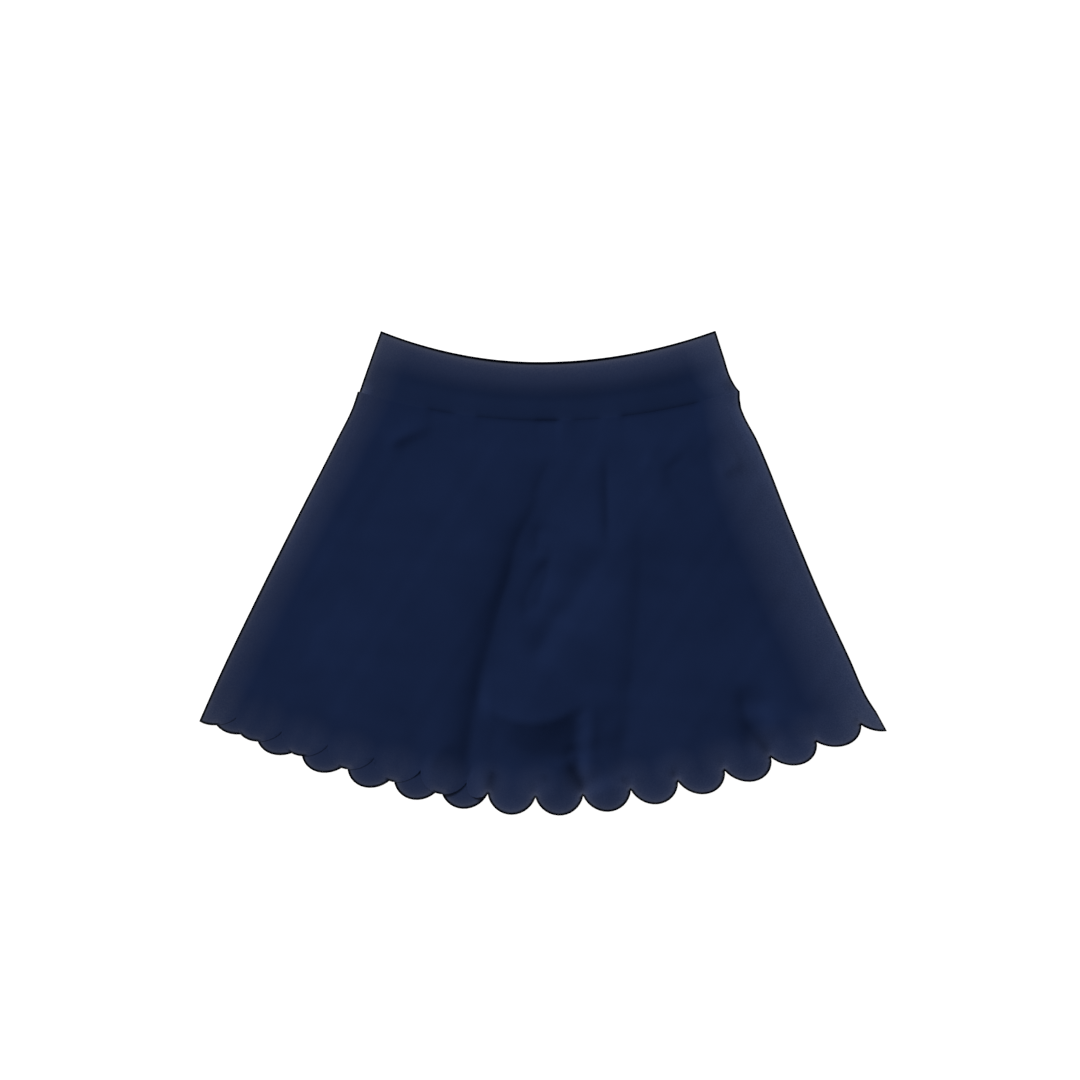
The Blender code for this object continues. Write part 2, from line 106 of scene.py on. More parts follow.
# The band's ends stop just inside the skirt's corners. Columns: y, x.
BAND_LEFT = ((0.2311, -0.1557), (0.2055, -0.1648), (0.1732, -0.1764))
BAND_RIGHT = (
    (0.2311, 0.1647),
    (0.2055, 0.1728),
    (0.1840, 0.1804),
    (0.1782, 0.1839),
    (0.1732, 0.1880),
)

# Columns: low, rise, reach, power.
RIGHT_HEM = (-0.2159, 0.0696, 0.3037, 1.747)
FRONT_LEFT_HEM = (-0.2149, 0.0751, 0.2943, 1.192)
BACK_LEFT_HEM = (-0.2154, 0.0721, 0.2874, 1.872)
FOLD_COLUMN_SEAM_X = -0.0010

SHORTS_TOP_HALF = 0.1680
SHORTS_HEM_HALF = 0.1900
SHORTS_HEM_Y = -0.1210
SHORTS_HEM_LIFT = 0.0060
CENTRE_X = 0.0036
CROTCH_SHARE = 0.66
CROTCH_GAP = 0.0016
INSEAM_HEM_GAP = 0.0080
SHORTS_FOLLOW = 0.19  # of the lift of the skirt over them
SHORTS_CLEAR = 0.0150  # taken at its lowest within this
SHORTS_MARGIN = 0.0020
PLACE_ROUNDS = 12

# %% [markdown]
# ## Helpers that read the pattern
# `ease` is a smooth step, `mix` goes evenly from one value to another, and `along` reads a
# two-column table as a smooth curve. Blender could hold these lines as curve objects, but
# plain functions are easier to reuse for the outline, the folds and the distances.

# %% Smooth steps and curves through a table
def ease(t):
    """0 below 0, 1 above 1 and a smooth step between."""
    t = np.clip(t, 0.0, 1.0)
    return t * t * (3.0 - 2.0 * t)


def mix(start, end, share):
    return start + (end - start) * share


def along(table, at):
    """The second column of a two-column table, read as a smooth curve over the first."""
    keys = np.array([row[0] for row in table])
    values = np.array([row[1] for row in table])
    if keys[0] > keys[-1]:
        keys, values = keys[::-1], values[::-1]
    slopes = np.gradient(values, keys)
    at = np.asarray(at, dtype=float)
    cell = np.clip(np.searchsorted(keys, at) - 1, 0, len(keys) - 2)
    span = keys[cell + 1] - keys[cell]
    t = np.clip((at - keys[cell]) / span, 0.0, 1.0)
    past = at - np.clip(at, keys[0], keys[-1])
    curve = (
        (2 * t**3 - 3 * t**2 + 1) * values[cell]
        + (t**3 - 2 * t**2 + t) * span * slopes[cell]
        + (3 * t**2 - 2 * t**3) * values[cell + 1]
        + (t**3 - t**2) * span * slopes[cell + 1]
    )
    return curve + past * np.where(past > 0, slopes[-1], slopes[0])


def sagging(x, corner_y, dip, dip_x, reaches):
    """A waist line: corner_y at its ends and lower by dip at dip_x."""
    reach = np.where(x < dip_x, reaches[0], reaches[1])
    return corner_y - dip + dip * ((x - dip_x) / reach) ** 2


def waist_y(x):
    return sagging(x, WAIST_CORNER_Y, WAIST_DIP, WAIST_DIP_X, WAIST_REACHES)


def seam_y(x):
    return sagging(x, SEAM_CORNER_Y, SEAM_DIP, SEAM_DIP_X, SEAM_REACHES)


def hem_y(x, left_hem):
    """The line through a hem's notches."""

    def branch(low, rise, reach, power):
        return low + rise * (np.abs(x) / reach) ** power

    across_fold = ease((x - FOLD_LEFT_NOTCH_X) / (FOLD_RIGHT_NOTCH_X - FOLD_LEFT_NOTCH_X))
    return branch(*left_hem) * (1 - across_fold) + branch(*RIGHT_HEM) * across_fold


middle_length = float(waist_y(0.0) - hem_y(0.0, RIGHT_HEM)) + SCALLOP_DEPTH
print("length at the middle:", round(middle_length, 4))

# %% [markdown]
# ## The scalloped hem
# Each scallop is a round arc between two notches. Walking along the hem line one pitch
# at a time gives the notches, so the scallops stay the same width where the hem turns
# up at the sides. The side seams cut the last ones short.

# %% Notches and arcs
COLUMN_SPACING = 0.0031
FINE_STEPS = (0.0005, 0.0010, 0.0016, 0.0024, 0.0036, 0.0054)
FINE_SHARE = 0.4  # of a short length holds the fine steps
PAST_FINE = 1.4  # even steps start at this many times the last fine one
SLOPE_STEP = 0.01


def graded(length, spacing, at_start=True, at_end=True):
    """Shares from 0 to 1 that crowd together at an end where the cloth's edge is."""
    close = np.array([step for step in FINE_STEPS if step < FINE_SHARE * length]) / length
    first = PAST_FINE * close[-1] if at_start else 0.0
    last = 1 - PAST_FINE * close[-1] if at_end else 1.0
    shares = np.linspace(first, last, max(2, round(length * (last - first) / spacing)) + 1)
    before = [0.0, *close] if at_start else []
    after = [*(1 - close[::-1]), 1.0] if at_end else []
    return np.array([*before, *shares, *after])


def walk(start_x, pitch, left_hem, past_x):
    """The x of each notch from start_x on, one pitch apart along the hem, to past past_x."""
    way = 1.0 if past_x > start_x else -1.0
    notches = [start_x]
    while way * (past_x - notches[-1]) > 0:
        x = notches[-1]
        slope = (hem_y(x + way * SLOPE_STEP, left_hem) - hem_y(x, left_hem)) / SLOPE_STEP
        notches.append(x + way * pitch / math.hypot(1.0, slope))
    return notches[1:]


def hem_notches(left_start, right_start, pitch, left_hem):
    lefts = walk(left_start, pitch, left_hem, LEFT_SIDE[-1][1] + NOTCH_CLEARANCE)
    rights = walk(right_start, pitch, left_hem, RIGHT_SIDE[-1][1] - NOTCH_CLEARANCE)
    xs = lefts[::-1] + sorted({left_start, right_start}) + rights
    return [np.array((x, float(hem_y(x, left_hem)))) for x in xs]


def scallop(start, end, depth, shares):
    """Points on the round edge from the notch at start (share -1) to the one at end (1)."""
    half_pitch = SCALLOP_PITCH / 2
    radius = (half_pitch**2 + depth**2) / (2 * depth)
    widest = math.asin(half_pitch / radius)
    chord = end - start
    tangent = chord / np.linalg.norm(chord)
    outward = np.array((tangent[1], -tangent[0]))
    lean = SCALLOP_LEAN * (start[0] + end[0]) / 2 / RIGHT_SIDE[-1][1]
    angles = widest * np.asarray(shares)[:, None]
    hang = radius * np.cos(angles) - radius + depth
    across = 0.5 * np.sin(angles) / math.sin(widest)
    return (start + end) / 2 + chord * across + (outward + tangent * lean) * hang


def cut_share(start, end, depth, side):
    """How far along a scallop, from -1 to 1, the garment's side cuts it."""
    shares = np.linspace(-1, 1, 201)
    points = scallop(start, end, depth, shares)
    outside = points[:, 0] - along(side, points[:, 1])
    return shares[int(np.argmin(np.abs(outside)))]


def hem_points(notches, folded=None):
    """The scalloped edge, and where each point is along the line of the notches."""
    depths = [SCALLOP_DEPTH] * (len(notches) - 1)
    depths[: len(LEFT_END_DEPTHS)] = LEFT_END_DEPTHS
    depths[-len(RIGHT_END_DEPTHS) :] = RIGHT_END_DEPTHS[::-1]
    if folded is not None:
        depths[folded] = FOLD_SCALLOP_DEPTH
    edge, spread = [], []
    for number, (start, end, depth) in enumerate(zip(notches[:-1], notches[1:], depths)):
        at_left, at_right = number == 0, number == len(depths) - 1
        first = cut_share(start, end, depth, LEFT_SIDE) if at_left else -1
        last = cut_share(start, end, depth, RIGHT_SIDE) if at_right else 1
        length = SCALLOP_PITCH * (last - first) / 2
        shares = first + (last - first) * graded(length, COLUMN_SPACING, at_left, at_right)
        skip = 0 if at_left else 1
        edge += list(scallop(start, end, depth, shares))[skip:]
        spread += list(start[0] + (end[0] - start[0]) * (1 + shares) / 2)[skip:]
    return np.array(edge), np.array(spread)


FRONT_NOTCHES = hem_notches(FOLD_LEFT_NOTCH_X, FOLD_RIGHT_NOTCH_X, SCALLOP_PITCH, FRONT_LEFT_HEM)
FOLDED = [notch[0] for notch in FRONT_NOTCHES].index(FOLD_LEFT_NOTCH_X)
BACK_NOTCHES = hem_notches(
    BACK_MIDDLE_NOTCH_X, BACK_MIDDLE_NOTCH_X, BACK_SCALLOP_PITCH, BACK_LEFT_HEM
)
FRONT_EDGE, FRONT_SPREAD = hem_points(FRONT_NOTCHES, FOLDED)
BACK_EDGE, BACK_SPREAD = hem_points(BACK_NOTCHES)
print("front scallops:", len(FRONT_NOTCHES) - 1, "back scallops:", len(BACK_NOTCHES) - 1)

# %% [markdown]
# ## How high the front lies
# Laid on a table, a skirt is not flat. It rests on the shorts inside it, with air between,
# and its flare makes folds that run down from the waist. Cloth simulation would drape
# it, but not into the folds of one given lay, so they are placed here. From left
# to right the cloth rises to a bank, drops steeply into the main valley, rises over a
# broad lobe and drops again into the right valley. The lobe ends above the hem in a
# sagging edge with a hollow below it, and each short crease is a row of a table. The
# solids have these folds too, mostly within 2 mm.

# %% The main folds
PILLOW = 0.0024
LEAST_LIFT = 0.0005
SIDE_ROLLS = (0.1650, 0.1100)  # the front comes down to the back within this of a side
HEM_ROLL = 0.0900
HEM_SHARE = 0.82  # of the height is left at the notches
WAIST_ROLL = 0.0740
WAIST_START = 0.006  # the rise starts this far above the seam
SIDE_FOLD = 0.0140  # over this, at a side, it comes down past the edge of the shorts
SHORTS_SIDE_FALL = 0.1050
SHORTS_HEM_FALL = 0.0900

# Columns: y, x.
MAIN_VALLEY = (
    (0.1074, -0.0040),
    (0.0691, -0.0070),
    (0.0309, -0.0255),
    (-0.0074, -0.0355),
    (-0.0457, -0.0470),
    (-0.0840, -0.0570),
    (-0.1223, -0.0650),
    (-0.1988, -0.0775),
)
RIGHT_VALLEY = (
    (0.0600, 0.0925),
    (0.0117, 0.0920),
    (-0.0457, 0.0890),
    (-0.0840, 0.0845),
    (-0.1223, 0.0805),
    (-0.1700, 0.0745),
)
MAIN_FADE = 0.1200  # the main valley starts at this y and is full as far below it
RIGHT_FADE = (0.0750, 0.0700)  # where the right valley starts, and how far below it is full
LINE_BEND = 0.0040  # a valley's line is rounded this much
BANK = 0.0040
BANK_REACH = 0.0800
MAIN_SOFT_SIDE = 0.0105
WIDE_SHARE = 0.3  # of the main valley's depth closes three times as fast
VALLEY_CUT = 0.85  # of the pillow is missing in the main valley
VALLEY_RETURN = 0.0800  # and is back this far to its right
LOBE = 0.0040
LOBE_RISES = (0.85, 0.45)  # shares of the way between the valleys, high up and low down
RISE_CHANGES = (-0.02, 0.1)  # from this y downwards, over this
RIGHT_FALL = 0.65
RIGHT_SOFT_SIDE = 0.0130

# The raised middle ends in a curve that sags between its two ends, with a hollow below.
SMILE_END_Y = -0.1290
SMILE_SAG = 0.0148
SMILE_MIDDLE_X = -0.0110
SMILE_HALF = 0.0445
SMILE_FALLS = (0.0190, 0.0450)  # how far down it falls, at its left and right ends
SMILE_SIDES = ((0.0100, 0.0400), (0.0055, 0.0220))  # past each end, and how wide its wall is
SMILE_CLOSES = (0.0270, 0.0480, 0.50)  # starts this far down, over this, by this share
SMILE_POWER = 1.5  # the higher, the steeper just below the edge
SMILE_EMPTIES = (0.6, 0.9)  # shares of the pillow and of the lobe that are missing in it
SHELF = (0.0021, 0.0011)  # the edge above the hollow stands out, at its left and right ends
SHELF_REACH = 0.0280
SHELF_SIDES = ((0.0010, 0.0160), (0.0040, 0.0400))

# Narrow ridges and creases: a segment from its upper to its lower end, the height, and how
# fast it falls off on its upper left side (steep) and on the other (soft).
# Columns: x0, y0, x1, y1, height, steep, soft.
CREASE_FADES = (0.15, 0.4)  # past an end, and over how much, in shares of the length
CREASES = (
    (-0.0640, -0.1250, -0.0610, -0.2080, 0.0005, 0.0070, 0.0070),
    (0.0450, -0.1200, 0.0420, -0.2080, 0.0008, 0.0060, 0.0080),
    (0.0610, 0.1100, 0.0630, 0.0300, -0.0017, 0.0045, 0.0200),
    (-0.1100, 0.1380, -0.1420, 0.1190, -0.0020, 0.0040, 0.0160),
    (0.1600, 0.1320, 0.1400, 0.1120, -0.0015, 0.0045, 0.0160),
    (0.1400, 0.1120, 0.1130, 0.0930, -0.0012, 0.0045, 0.0160),
    (0.1900, -0.1130, 0.2020, -0.1750, -0.0022, 0.0070, 0.0200),
    (0.0280, -0.1680, 0.0430, -0.2100, -0.0028, 0.0075, 0.0220),
    (-0.2080, -0.1010, -0.2820, -0.1260, -0.0008, 0.0070, 0.0200),
    (-0.2080, 0.0150, -0.2560, -0.0330, -0.0008, 0.0090, 0.0240),
)


def side_rooms(x, y, left=LEFT_SIDE, right=RIGHT_SIDE):
    """How far a point is inside the left side and inside the right side."""
    return x - along(left, y), along(right, y) - x


def shorts_half(y):
    """Half the shorts' width, from the centre line to an outer fold."""
    share = (SEAM_CORNER_Y - SEAM_DIP - y) / (SEAM_CORNER_Y - SEAM_DIP - SHORTS_HEM_Y)
    return mix(SHORTS_TOP_HALF, SHORTS_HEM_HALF, share)


def shorts_hem_y(x):
    return SHORTS_HEM_Y + SHORTS_HEM_LIFT * (np.abs(x - CENTRE_X) / SHORTS_HEM_HALF) ** 2


def over_shorts(x, y):
    """1 above the inner shorts, falling to 0 outside them and at the garment's sides."""
    beside = np.abs(x - CENTRE_X) - shorts_half(y) - SHORTS_MARGIN
    below = shorts_hem_y(x) - y - SHORTS_MARGIN
    over = (1 - ease(beside / SHORTS_SIDE_FALL)) * (1 - ease(below / SHORTS_HEM_FALL))
    return over * ease(np.minimum(*side_rooms(x, y)) / SIDE_FOLD)


def to_line(offset):
    """The offset on the left of a line and 0 on its right, with a rounded corner."""
    return (offset - np.sqrt(offset**2 + LINE_BEND**2)) / 2


def crease(x, y, x0, y0, x1, y1, height, steep, soft):
    """A ridge (or a groove, where height is negative) that fades out at both ends."""
    length = math.hypot(x1 - x0, y1 - y0)
    tx, ty = (x1 - x0) / length, (y1 - y0) / length
    share = ((x - x0) * tx + (y - y0) * ty) / length
    across = (y - y0) * tx - (x - x0) * ty
    past, over = CREASE_FADES
    fade = ease((share + past) / over) * ease((1 + past - share) / over)
    blend = 0.5 + 0.5 * np.tanh(across / steep)
    width = mix(steep, soft, blend)
    return height * fade * np.exp(-(np.hypot(across, steep / 2) - steep / 2) / width)


def between(ends, sides):
    """1 between two ends and 0 outside them, with a row of sides for each end."""
    left, right = (ease(0.5 + (end + past) / width) for end, (past, width) in zip(ends, sides))
    return left * right


def hollow(x, y):
    """The hollow under the raised middle: how far it has fallen, and the edge above it."""
    edge_y = SMILE_END_Y - SMILE_SAG * (1 - ((x - SMILE_MIDDLE_X) / SMILE_HALF) ** 2)
    ends = x - SMILE_MIDDLE_X + SMILE_HALF, SMILE_MIDDLE_X + SMILE_HALF - x
    across = np.clip(ends[0] / (2 * SMILE_HALF), 0, 1)
    below = edge_y - y
    fall = mix(*SMILE_FALLS, across)
    start, over, closed = SMILE_CLOSES
    opens = 1 - (1 - np.clip(below / fall, 0, 1)) ** SMILE_POWER
    fallen = between(ends, SMILE_SIDES) * opens * (1 - closed * ease((below - start) / over))
    shelf = mix(*SHELF, across) * np.exp(-np.maximum(-below, 0) / SHELF_REACH)
    return fallen, shelf * between(ends, SHELF_SIDES)


def lift(x, y, creases=CREASES):
    """How far the front's underside is above what lies under it."""
    main_x, right_x = along(MAIN_VALLEY, y), along(RIGHT_VALLEY, y)
    main = x - main_x
    main_fade = ease((MAIN_FADE - y) / MAIN_FADE)
    right_fade = ease((RIGHT_FADE[0] - y) / RIGHT_FADE[1])

    near = to_line(main) / MAIN_SOFT_SIDE
    valley = (1 - WIDE_SHARE) * np.exp(near) + WIDE_SHARE * np.exp(near / 3)
    bank = BANK * (np.exp(to_line(main) / BANK_REACH) - valley)
    low = ease((RISE_CHANGES[0] - y) / RISE_CHANGES[1])
    rise = ease(main / (right_x - main_x) / mix(*LOBE_RISES, low))
    drop = RIGHT_FALL * right_fade * np.exp(to_line(x - right_x) / RIGHT_SOFT_SIDE)
    fallen, shelf = hollow(x, y)
    lobe = LOBE * rise * (1 - drop) + shelf
    pillow = PILLOW * (1 - VALLEY_CUT * main_fade * valley * (1 - ease(main / VALLEY_RETURN)))

    pillow = pillow * (1 - SMILE_EMPTIES[0] * fallen)
    lobe = lobe * (1 - SMILE_EMPTIES[1] * fallen)
    total = pillow + main_fade * (bank + lobe)
    above_hem = y - hem_y(x, FRONT_LEFT_HEM)
    total = total * (HEM_SHARE + (1 - HEM_SHARE) * ease(above_hem / HEM_ROLL))
    for row in creases:
        total = total + crease(x, y, *row)
    below_waist = seam_y(x) - y
    rooms = side_rooms(x, y)
    at_sides = ease(np.minimum(rooms[0] / SIDE_ROLLS[0], rooms[1] / SIDE_ROLLS[1]))
    at_waist = ease((below_waist + WAIST_START) / WAIST_ROLL)
    return np.maximum(total, LEAST_LIFT) * at_sides * at_waist


centre_line = lift(np.zeros(50), np.linspace(-0.2, 0.14, 50))
print("highest lift on the centre line:", round(float(centre_line.max()), 4))

# %% [markdown]
# ## Finer creases
# Up close the knit has small marks that only the shell carries: drag lines that run from
# the waist into the lobe, short puckers above the hem's notches, where the edge is
# turned, and the slight waves of a relaxed jersey. They use the same creases as above.

# %% Fine relief of the front
FINE_CREASES = (
    (0.0530, 0.0180, 0.0190, -0.0460, -0.0031, 0.0160, 0.0320),
    (0.0190, -0.0330, -0.0090, -0.0860, -0.0026, 0.0100, 0.0280),
    (0.0070, 0.1074, -0.0080, 0.0740, -0.0005, 0.0045, 0.0120),
    (-0.0030, 0.0450, -0.0060, 0.0150, -0.0009, 0.0050, 0.0160),
    (0.0090, 0.0170, -0.0170, -0.0420, -0.0021, 0.0060, 0.0160),
    (-0.1480, 0.1230, -0.1090, 0.1410, 0.0015, 0.0050, 0.0160),
    (0.1180, 0.0910, 0.1630, 0.1350, 0.0009, 0.0060, 0.0200),
    (0.0950, 0.1060, 0.1200, 0.0940, 0.0006, 0.0060, 0.0160),
    (0.1690, 0.0950, 0.1890, 0.1070, 0.0013, 0.0060, 0.0200),
    (-0.1840, -0.0050, -0.2640, -0.1150, -0.0013, 0.0140, 0.0350),
    (-0.2500, -0.1120, -0.2880, -0.1400, -0.0009, 0.0080, 0.0200),
)
CALM_REACHES = (0.02, 0.03)  # the relief fades out this near to a side and to the seam
PUCKER_LENGTH = 0.0110
PUCKER_ENDS = (1.25, 0.25)  # in lengths above the notch
PUCKER_DEPTH = 0.0006
PUCKER_WIDTH = 0.0016
WAVE_SWAY = (0.37, 4, 1.3)  # how often, how shifted and how far a wave's crests wander
# Columns: length, angle, height.
CLOTH_WAVES = (
    (0.061, 0.35, 0.00010),
    (0.043, 1.45, 0.00008),
    (0.029, 2.60, 0.00005),
    (0.019, 0.95, 0.00003),
)


def pucker_rows(notches):
    """A short groove above each notch, across the line of the hem."""
    rows = []
    for before, notch, after in zip(notches[:-2], notches[1:-1], notches[2:]):
        way = (after - before) / np.linalg.norm(after - before)
        up = np.array((-way[1], way[0])) * PUCKER_LENGTH
        high, low = (notch + end * up for end in PUCKER_ENDS)
        rows.append((*high, *low, -PUCKER_DEPTH, PUCKER_WIDTH, PUCKER_WIDTH))
    return rows


def cloth_waves(x, y):
    """The slight unevenness of a relaxed knit: a few long, low waves."""
    total = np.zeros_like(x)
    often, shift, far = WAVE_SWAY
    for length, angle, height in CLOTH_WAVES:
        phase = (x * math.cos(angle) + y * math.sin(angle)) * 2 * math.pi / length
        sway = far * np.sin(phase * often + shift * angle)
        total = total + height * np.sin(phase + sway)
    return total


def fine_relief(x, y):
    calm = ease(np.minimum(*side_rooms(x, y)) / CALM_REACHES[0])
    calm = calm * ease((seam_y(x) - y) / CALM_REACHES[1])
    total = cloth_waves(x, y)
    for row in FINE_CREASES:
        total = total + crease(x, y, *row)
    total = total * calm
    for row in pucker_rows(FRONT_NOTCHES):
        total = total + crease(x, y, *row)
    return total


# %% [markdown]
# ## The waist seam
# The skirt's upper edge is tucked just under the band, as a seam pulls it in. Band and
# skirt meet at one height nearly everywhere. Along a few uneven stretches both roll down
# into the stitches, and the stitches there are painted with shade as well, so the seam shows as a
# soft, broken dark line.

# %% How the skirt meets the band
SEAM_TUCK = 0.0005
SEAM_ROLLS = (0.0040, 0.0140)  # how far the roll reaches into the band and into the skirt
# Columns: from x, to x, depth.
SEAM_MARKS = (
    (-0.1150, -0.0800, 0.00048),
    (-0.0680, 0.0200, 0.00052),
    (-0.0120, 0.0200, 0.00040),
    (0.0240, 0.0600, 0.00036),
    (0.0700, 0.1540, 0.00060),
)
SEAM_MARK_FADE = 0.0100
# Painted shade at the stitches: SEAM_SHADE is the share of the light painted out for each metre
# that the stitches lie deep.
SEAM_SHADE = 340.0  # of the light is lost for each metre that the stitches lie deep
SEAM_SHADE_REACH = 0.0026


def seam_depth(x):
    """How deep the stitches lie below the cloth along the seam."""
    total = np.zeros_like(np.asarray(x, dtype=float))
    for start, end, depth in SEAM_MARKS:
        ends = ease((x - start) / SEAM_MARK_FADE) * ease((end - x) / SEAM_MARK_FADE)
        total = total + depth * ends
    return total


def skirt_front_z(x, y):
    under = SKIRT_WALL + GAP + 2 * (SHORTS_WALL + GAP) * over_shorts(x, y)
    return under + np.maximum(lift(x, y) + fine_relief(x, y), 0.0)


def seam_thins(x, distance, reach):
    """How much thinner the cloth is this far from the stitches."""
    return seam_depth(x) * np.exp(-np.maximum(distance, 0) / reach)


def seam_painted_light(x, distance):
    """Painted shade at the stitches: the share of the light left between the two edges."""
    return 1 - SEAM_SHADE * seam_depth(x) * np.exp(-((distance / SEAM_SHADE_REACH) ** 2))


print("seam at its deepest:", round(float(seam_depth(np.linspace(-0.17, 0.18, 200)).max()), 5))

# %% [markdown]
# ## Painted glow at the edges, painted rims and painted shade
# The cloth is painted paler towards its edges, a painted glow of light around the outline, and its
# outermost edge is painted as a narrow dark line of shade. Both depend on how far a point is from
# the outline, so they are worked out once for every point and stored on the mesh as two attributes,
# a painted glow (a colour to add) and a painted shade (a factor). Painted light and shade also
# evens out some slopes, and the gathers at the hem's notches are painted darker. Those few places
# are strokes in a table, and they scale both attributes.

# %% Painted edge glow and painted rim shade
# Painted glow. Columns: colour at the edge, reach at the waist, reach below it.
SIDE_PAINTED_GLOW = {
    "left": ((0.0145, 0.0150, 0.0175), 0.0365, 0.0365),
    "right": ((0.0200, 0.0243, 0.0390), 0.0380, 0.0640),
    "top": ((0.0155, 0.0160, 0.0200), 0.0325, 0.0325),
}
PAINTED_GLOW_CHANGES = (0.17, 0.10)  # the reach changes from this y downwards, over this
HEM_PAINTED_GLOW_LEFT = (0.0088, 0.0092, 0.0102)
HEM_PAINTED_GLOW_RIGHT = (0.0145, 0.0166, 0.0250)
HEM_PAINTED_GLOW_REACH = 0.0345
HEM_PAINTED_BLOOM = (0.0013, 0.0016, 0.0028)  # a fainter haze that reaches further in
HEM_PAINTED_BLOOM_REACH = 0.0850
HEM_PAINTED_GLOW_WIDTH = 0.6  # over which it changes from the left colour to the right one
GLOW = (0.072, 0.070, 0.064)
GLOW_REACH = 0.0022
HEM_GLOW_SHARE = 0.95
MOST_PAINTED_GLOW = 0.06
# Painted shade: the outermost edge is painted as a narrow dark line.
RIM_SHADE = 0.05
RIM_STARTS = 0.0016
RIM_WIDTH = 0.0010
SIDE_RIM_SHARE = 0.9  # of the distance to a side counts, so its rim is a little wider
# Painted shade on the left side's slope and painted light on the right side's slope, where the
# front comes down.
PAINTED_SIDE_LIGHT = (0.32, -0.38)  # of the light, at the left and right, where the front comes down
PAINTED_SIDE_LIGHT_FADES = (0.02, 0.08)  # above this y, over this

# Strokes of painted shade and painted light, drawn like creases: painted dark where the turned hem
# is gathered at a notch, and painted a little lighter or darker on the broad slopes.
# Columns: x0, y0, x1, y1, share of the light lost, steep, soft.
PAINTED_LIGHT_STROKES = (
    (0.0230, -0.1820, 0.0400, -0.2120, 0.50, 0.0080, 0.0050),
    (-0.0490, -0.1900, -0.0500, -0.2120, 0.38, 0.0030, 0.0030),
    (0.0767, -0.1955, 0.0767, -0.2015, 0.30, 0.0014, 0.0014),
    (0.1228, -0.1890, 0.1232, -0.1960, 0.25, 0.0018, 0.0018),
    (0.0008, -0.1940, 0.0008, -0.2000, 0.15, 0.0024, 0.0024),
    (0.1909, -0.1395, 0.2158, -0.1758, 0.38, 0.0060, 0.0060),
    (0.2990, -0.1400, 0.3015, -0.1475, 0.25, 0.0020, 0.0020),
    (0.2580, -0.1590, 0.2605, -0.1640, 0.20, 0.0020, 0.0020),
    (-0.1660, -0.1780, -0.1630, -0.1850, 0.25, 0.0026, 0.0026),
    (0.2020, -0.0500, 0.2230, -0.1600, -0.14, 0.0180, 0.0180),
    (0.0560, -0.1480, 0.0610, -0.2150, -0.14, 0.0120, 0.0120),
    (-0.2150, -0.1300, -0.1300, -0.1550, -0.16, 0.0200, 0.0200),
    (0.0600, -0.1400, 0.1400, -0.1550, -0.14, 0.0200, 0.0200),
    (0.0280, -0.1340, 0.0370, -0.1430, -0.22, 0.0060, 0.0060),
    (0.2080, -0.1250, 0.2200, -0.1500, -0.22, 0.0080, 0.0080),
    (-0.0300, -0.1640, 0.0330, -0.1760, 0.13, 0.0160, 0.0180),
    (0.0340, -0.0500, -0.0300, -0.1260, 0.09, 0.0240, 0.0240),
)


# Painted glow: a pale colour added near an edge that stands in for light, fading inwards.
def painted_glow(colour, reach, distance, glow=1.0):
    slow = np.clip(1 - distance / reach, 0, 1)[..., None] * np.asarray(colour)
    fast = glow * np.exp(-distance / GLOW_REACH)[..., None] * np.array(GLOW)
    return slow + fast


def side_painted_glow(side, distance, y):
    colour, at_waist, below = SIDE_PAINTED_GLOW[side]
    reach = mix(at_waist, below, ease((PAINTED_GLOW_CHANGES[0] - y) / PAINTED_GLOW_CHANGES[1]))
    return painted_glow(colour, reach, distance)


def together(parts):
    """Adds painted glows so that two edges near a corner don't pile up past the palest."""
    total = np.zeros_like(parts[0])
    for part in parts:
        total = total + part - total * part / MOST_PAINTED_GLOW
    return total


def hem_painted_glow(x, distance):
    share = np.clip(x / HEM_PAINTED_GLOW_WIDTH + 0.5, 0, 1)[..., None]
    colour = np.array(HEM_PAINTED_GLOW_LEFT) * (1 - share) + np.array(HEM_PAINTED_GLOW_RIGHT) * share
    bloom = painted_glow(HEM_PAINTED_BLOOM, HEM_PAINTED_BLOOM_REACH, distance, 0.0)
    return painted_glow(colour, HEM_PAINTED_GLOW_REACH, distance, HEM_GLOW_SHARE) + bloom


def painted_side_light(x, y):
    """Painted light and shade where the front comes down at the sides: darker on the left, lighter
    on the right.
    """
    over = 1 - ease((-SHORTS_MARGIN - shorts_half(y) + np.abs(x - CENTRE_X)) / SHORTS_SIDE_FALL)
    over = over * ease((y - PAINTED_SIDE_LIGHT_FADES[0]) / PAINTED_SIDE_LIGHT_FADES[1])
    shares = [np.clip(room / SIDE_FOLD, 0, 1) for room in side_rooms(x, y)]
    left, right = (4 * share * (1 - share) * over for share in shares)
    return 1 - PAINTED_SIDE_LIGHT[0] * left - PAINTED_SIDE_LIGHT[1] * right


def after_painted_strokes(x, y):
    """The share of the light that is left after the painted strokes of the table."""
    total = np.zeros_like(x)
    for row in PAINTED_LIGHT_STROKES:
        total = total + crease(x, y, *row)
    return 1 - total


def rim_share(nearest):
    """0 at the very edge and 1 inside it."""
    return ease((nearest - RIM_STARTS) / RIM_WIDTH)


# %% [markdown]
# ## From a grid to a piece of cloth
# Every piece is a grid of points with a UV map in real metres, so that the knit runs
# with the grain. A Solidify modifier gives it the cloth's thickness, with a vertex group
# where the wall is thinner, and a small Bevel rounds the cut edges. `light` is the share
# of the light that is painted into a point's colour, as painted light and shade.

# %% The shell maker
EDGE_ROUND = 0.0002
EDGE_ANGLE = math.radians(50)


